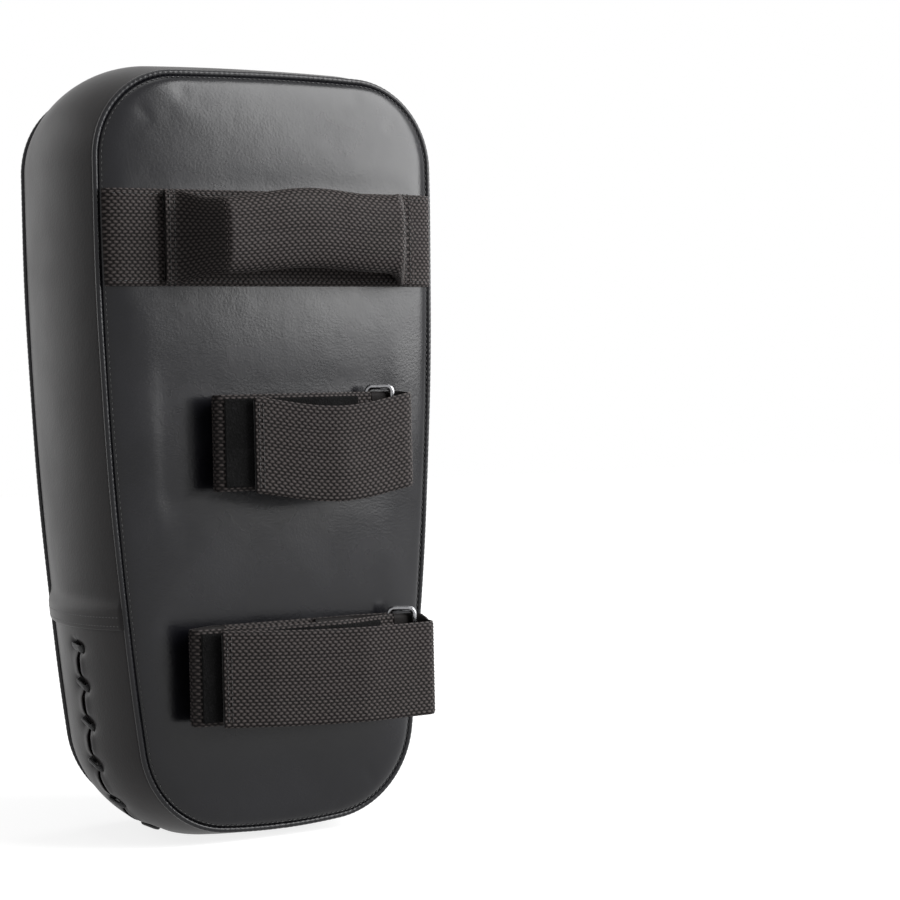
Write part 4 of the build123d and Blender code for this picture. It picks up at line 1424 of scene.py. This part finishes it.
def foam_layer(name, y_from, y_to, material, slot):
    """A closed stack of outlines between two depths, with a cap of rings at each end."""
    levels = np.linspace(y_from, y_to, 14)
    share = np.arange(240) / 240
    line, out = seam_line(share)
    inside = np.where(levels < SEAM[-1], SEAM[-1] - levels, np.maximum(levels - SEAM[1], 0))
    across = np.clip((levels - MID_Y) / HALF, -1, 1)
    draw_in = np.where(inside > 0, 3.0 + inside * 1.2 + inside**2 * 0.1, 2.6 - CROWN * (1 - across**2))
    near = 1 - smooth(np.abs(levels - MID_Y), 13, 17)
    low = 1 - smooth(line[:, 1], SLIT_END, SLIT_END + 6)
    amount = draw_in[:, None] + 12 * near[:, None] * low[None]
    amount = amount + 3.0 * (1 - smooth(line[:, 1], 8, 40))[None]
    x = line[None, :, 0] - out[None, :, 0] * amount
    z = line[None, :, 1] - out[None, :, 1] * amount
    walls = np.stack([x, levels[:, None] + 0 * x, z], -1)
    shares = np.linspace(1, 0.02, 12)[1:, None, None]
    centre = np.array([0, 0, MIDDLE[2]])
    low_cap = (centre + (walls[0] - centre)[None] * shares)[::-1]
    high_cap = centre + (walls[-1] - centre)[None] * shares
    low_cap[..., 1], high_cap[..., 1] = y_from, y_to
    rows = np.concatenate([low_cap, walls, high_cap])
    ids = np.arange(rows[..., 0].size).reshape(rows.shape[:2])
    faces = [quads(ids, wrap_columns=True), ids[:1][:, ::-1], ids[-1:]]
    piece = build(name, rows, faces, material)
    return place(piece, "pad", slot, name.replace("_block", "_foam"))


foam_layer("strike_block", FACE[-1] + 4.5, STRIKE_END, FIRM_FOAM, "firm_foam")
foam_layer("core_block", STRIKE_END + 0.1, BACK_START - 0.1, CORE_FOAM, "core_foam")
foam_layer("back_block", BACK_START, FACE[1] - 3.4, FIRM_FOAM, "firm_foam")

# %% Tongue and rings
for node, material in (
    ("lacing_tongue", EDGE_LEATHER),
    ("upper_ring", RING_STEEL),
    ("lower_ring", RING_STEEL),
):
    part = frame["nodes"][node]
    part.data.materials.clear()
    part.data.materials.append(material)
print("CAD pieces that show:", sorted(n for n, o in frame["nodes"].items() if not o.hide_render))

# %% [markdown]
# ## Floor and light
# Black leather shows the lights more than itself. A broad soft lamp high on the strap side draws
# the highlight at the head of the pad, one at the side lifts the side strip, and two weak ones
# fill the top and the far side. The floor and the world give little light, but they are white for
# the camera and in reflections. Gloss would then turn black leather grey, so its finish has a low
# specular level, and that keeps it dark.

# %% What the camera and reflections see


def seen_rays(tree):
    """1 for a ray from the camera, off a shiny surface or through glass, and 0 for lighting."""
    path = tree.nodes.new("ShaderNodeLightPath")
    total = path.outputs["Is Camera Ray"]
    for kind in ("Is Glossy Ray", "Is Transmission Ray"):
        larger = tree.nodes.new("ShaderNodeMath")
        larger.operation = "MAXIMUM"
        tree.links.new(total, larger.inputs[0])
        tree.links.new(path.outputs[kind], larger.inputs[1])
        total = larger.outputs[0]
    return total


# %% Floor
FLOOR_COLOUR = 0.36
NEAR, FAR = 0.5, 1.6  # metres from the pad, between which the glow rises
NEAR_GLOW, FAR_GLOW = 0.82, 1.0


def plain_floor():
    """A floor lit by the lamps, with a glow where it is seen, so that it is white and keeps the
    pad's shadow. The glow rises with the distance from the pad, because the lamps fall off."""
    material = bpy.data.materials.new("floor")
    material.use_nodes = True
    tree = material.node_tree
    tree.nodes.clear()
    place = tree.nodes.new("ShaderNodeTexCoord")
    distance = tree.nodes.new("ShaderNodeVectorMath")
    distance.operation = "LENGTH"
    tree.links.new(place.outputs["Object"], distance.inputs[0])
    rise = tree.nodes.new("ShaderNodeMapRange")
    rise.inputs["From Min"].default_value, rise.inputs["From Max"].default_value = NEAR, FAR
    rise.inputs["To Min"].default_value = NEAR_GLOW
    rise.inputs["To Max"].default_value = FAR_GLOW
    tree.links.new(distance.outputs["Value"], rise.inputs["Value"])
    strength = tree.nodes.new("ShaderNodeMath")
    strength.operation = "MULTIPLY"
    tree.links.new(seen_rays(tree), strength.inputs[0])
    tree.links.new(rise.outputs["Result"], strength.inputs[1])
    shade = tree.nodes.new("ShaderNodeBsdfDiffuse")
    shade.inputs["Color"].default_value = (FLOOR_COLOUR, FLOOR_COLOUR, FLOOR_COLOUR, 1)
    glow = tree.nodes.new("ShaderNodeEmission")
    glow.inputs["Color"].default_value = (1, 1, 1, 1)
    tree.links.new(strength.outputs[0], glow.inputs["Strength"])
    both = tree.nodes.new("ShaderNodeAddShader")
    tree.links.new(shade.outputs[0], both.inputs[0])
    tree.links.new(glow.outputs[0], both.inputs[1])
    end = tree.nodes.new("ShaderNodeOutputMaterial")
    tree.links.new(both.outputs[0], end.inputs["Surface"])
    return material


wide = 4000.0
floor_points = np.array([[-wide, -wide, 0], [wide, -wide, 0], [wide, wide, 0], [-wide, wide, 0]])
floor = build("floor", floor_points, [np.arange(4)[None]], plain_floor(), out=np.array([0, 0, 1.0]))
print("floor:", 2 * wide * MM, "m wide")

# %% World
AMBIENT = 0.24
world = bpy.data.worlds.new("studio")
bpy.context.scene.world = world
world.use_nodes = True
sky = world.node_tree
background = sky.nodes["Background"]
background.inputs["Color"].default_value = (1, 1, 1, 1)
strength = sky.nodes.new("ShaderNodeMapRange")
strength.inputs["To Min"].default_value = AMBIENT
strength.inputs["To Max"].default_value = 1.0
sky.links.new(seen_rays(sky), strength.inputs["Value"])
sky.links.new(strength.outputs["Result"], background.inputs["Strength"])
print("world: white where it is seen,", AMBIENT, "as light")

# %% Lamps


def lamp(name, azimuth, elevation, distance, size, power):
    """A rectangular soft lamp on a sphere round the pad's middle, pointed at it."""
    a, e = np.radians([azimuth, elevation])
    way = np.array([np.sin(a) * np.cos(e), -np.cos(a) * np.cos(e), np.sin(e)])
    data = bpy.data.lights.new(name, "AREA")
    data.shape, data.size, data.size_y = "RECTANGLE", size[0] * MM, size[1] * MM
    data.energy = power
    light = bpy.data.objects.new(name, data)
    bpy.context.scene.collection.objects.link(light)
    light.location = (MIDDLE + way * distance) * MM
    light.rotation_euler = Vector((-way).tolist()).to_track_quat("-Z", "Y").to_euler()
    return light


lamp("key", 225, 25, 1500, (950, 1250), 42)
lamp("side", 34, 14, 1700, (1100, 1300), 6)
lamp("top", 165, 78, 1500, (900, 500), 3)
lamp("front", -62, 22, 1800, (800, 900), 8)
bpy.context.scene.view_settings.view_transform = "Standard"
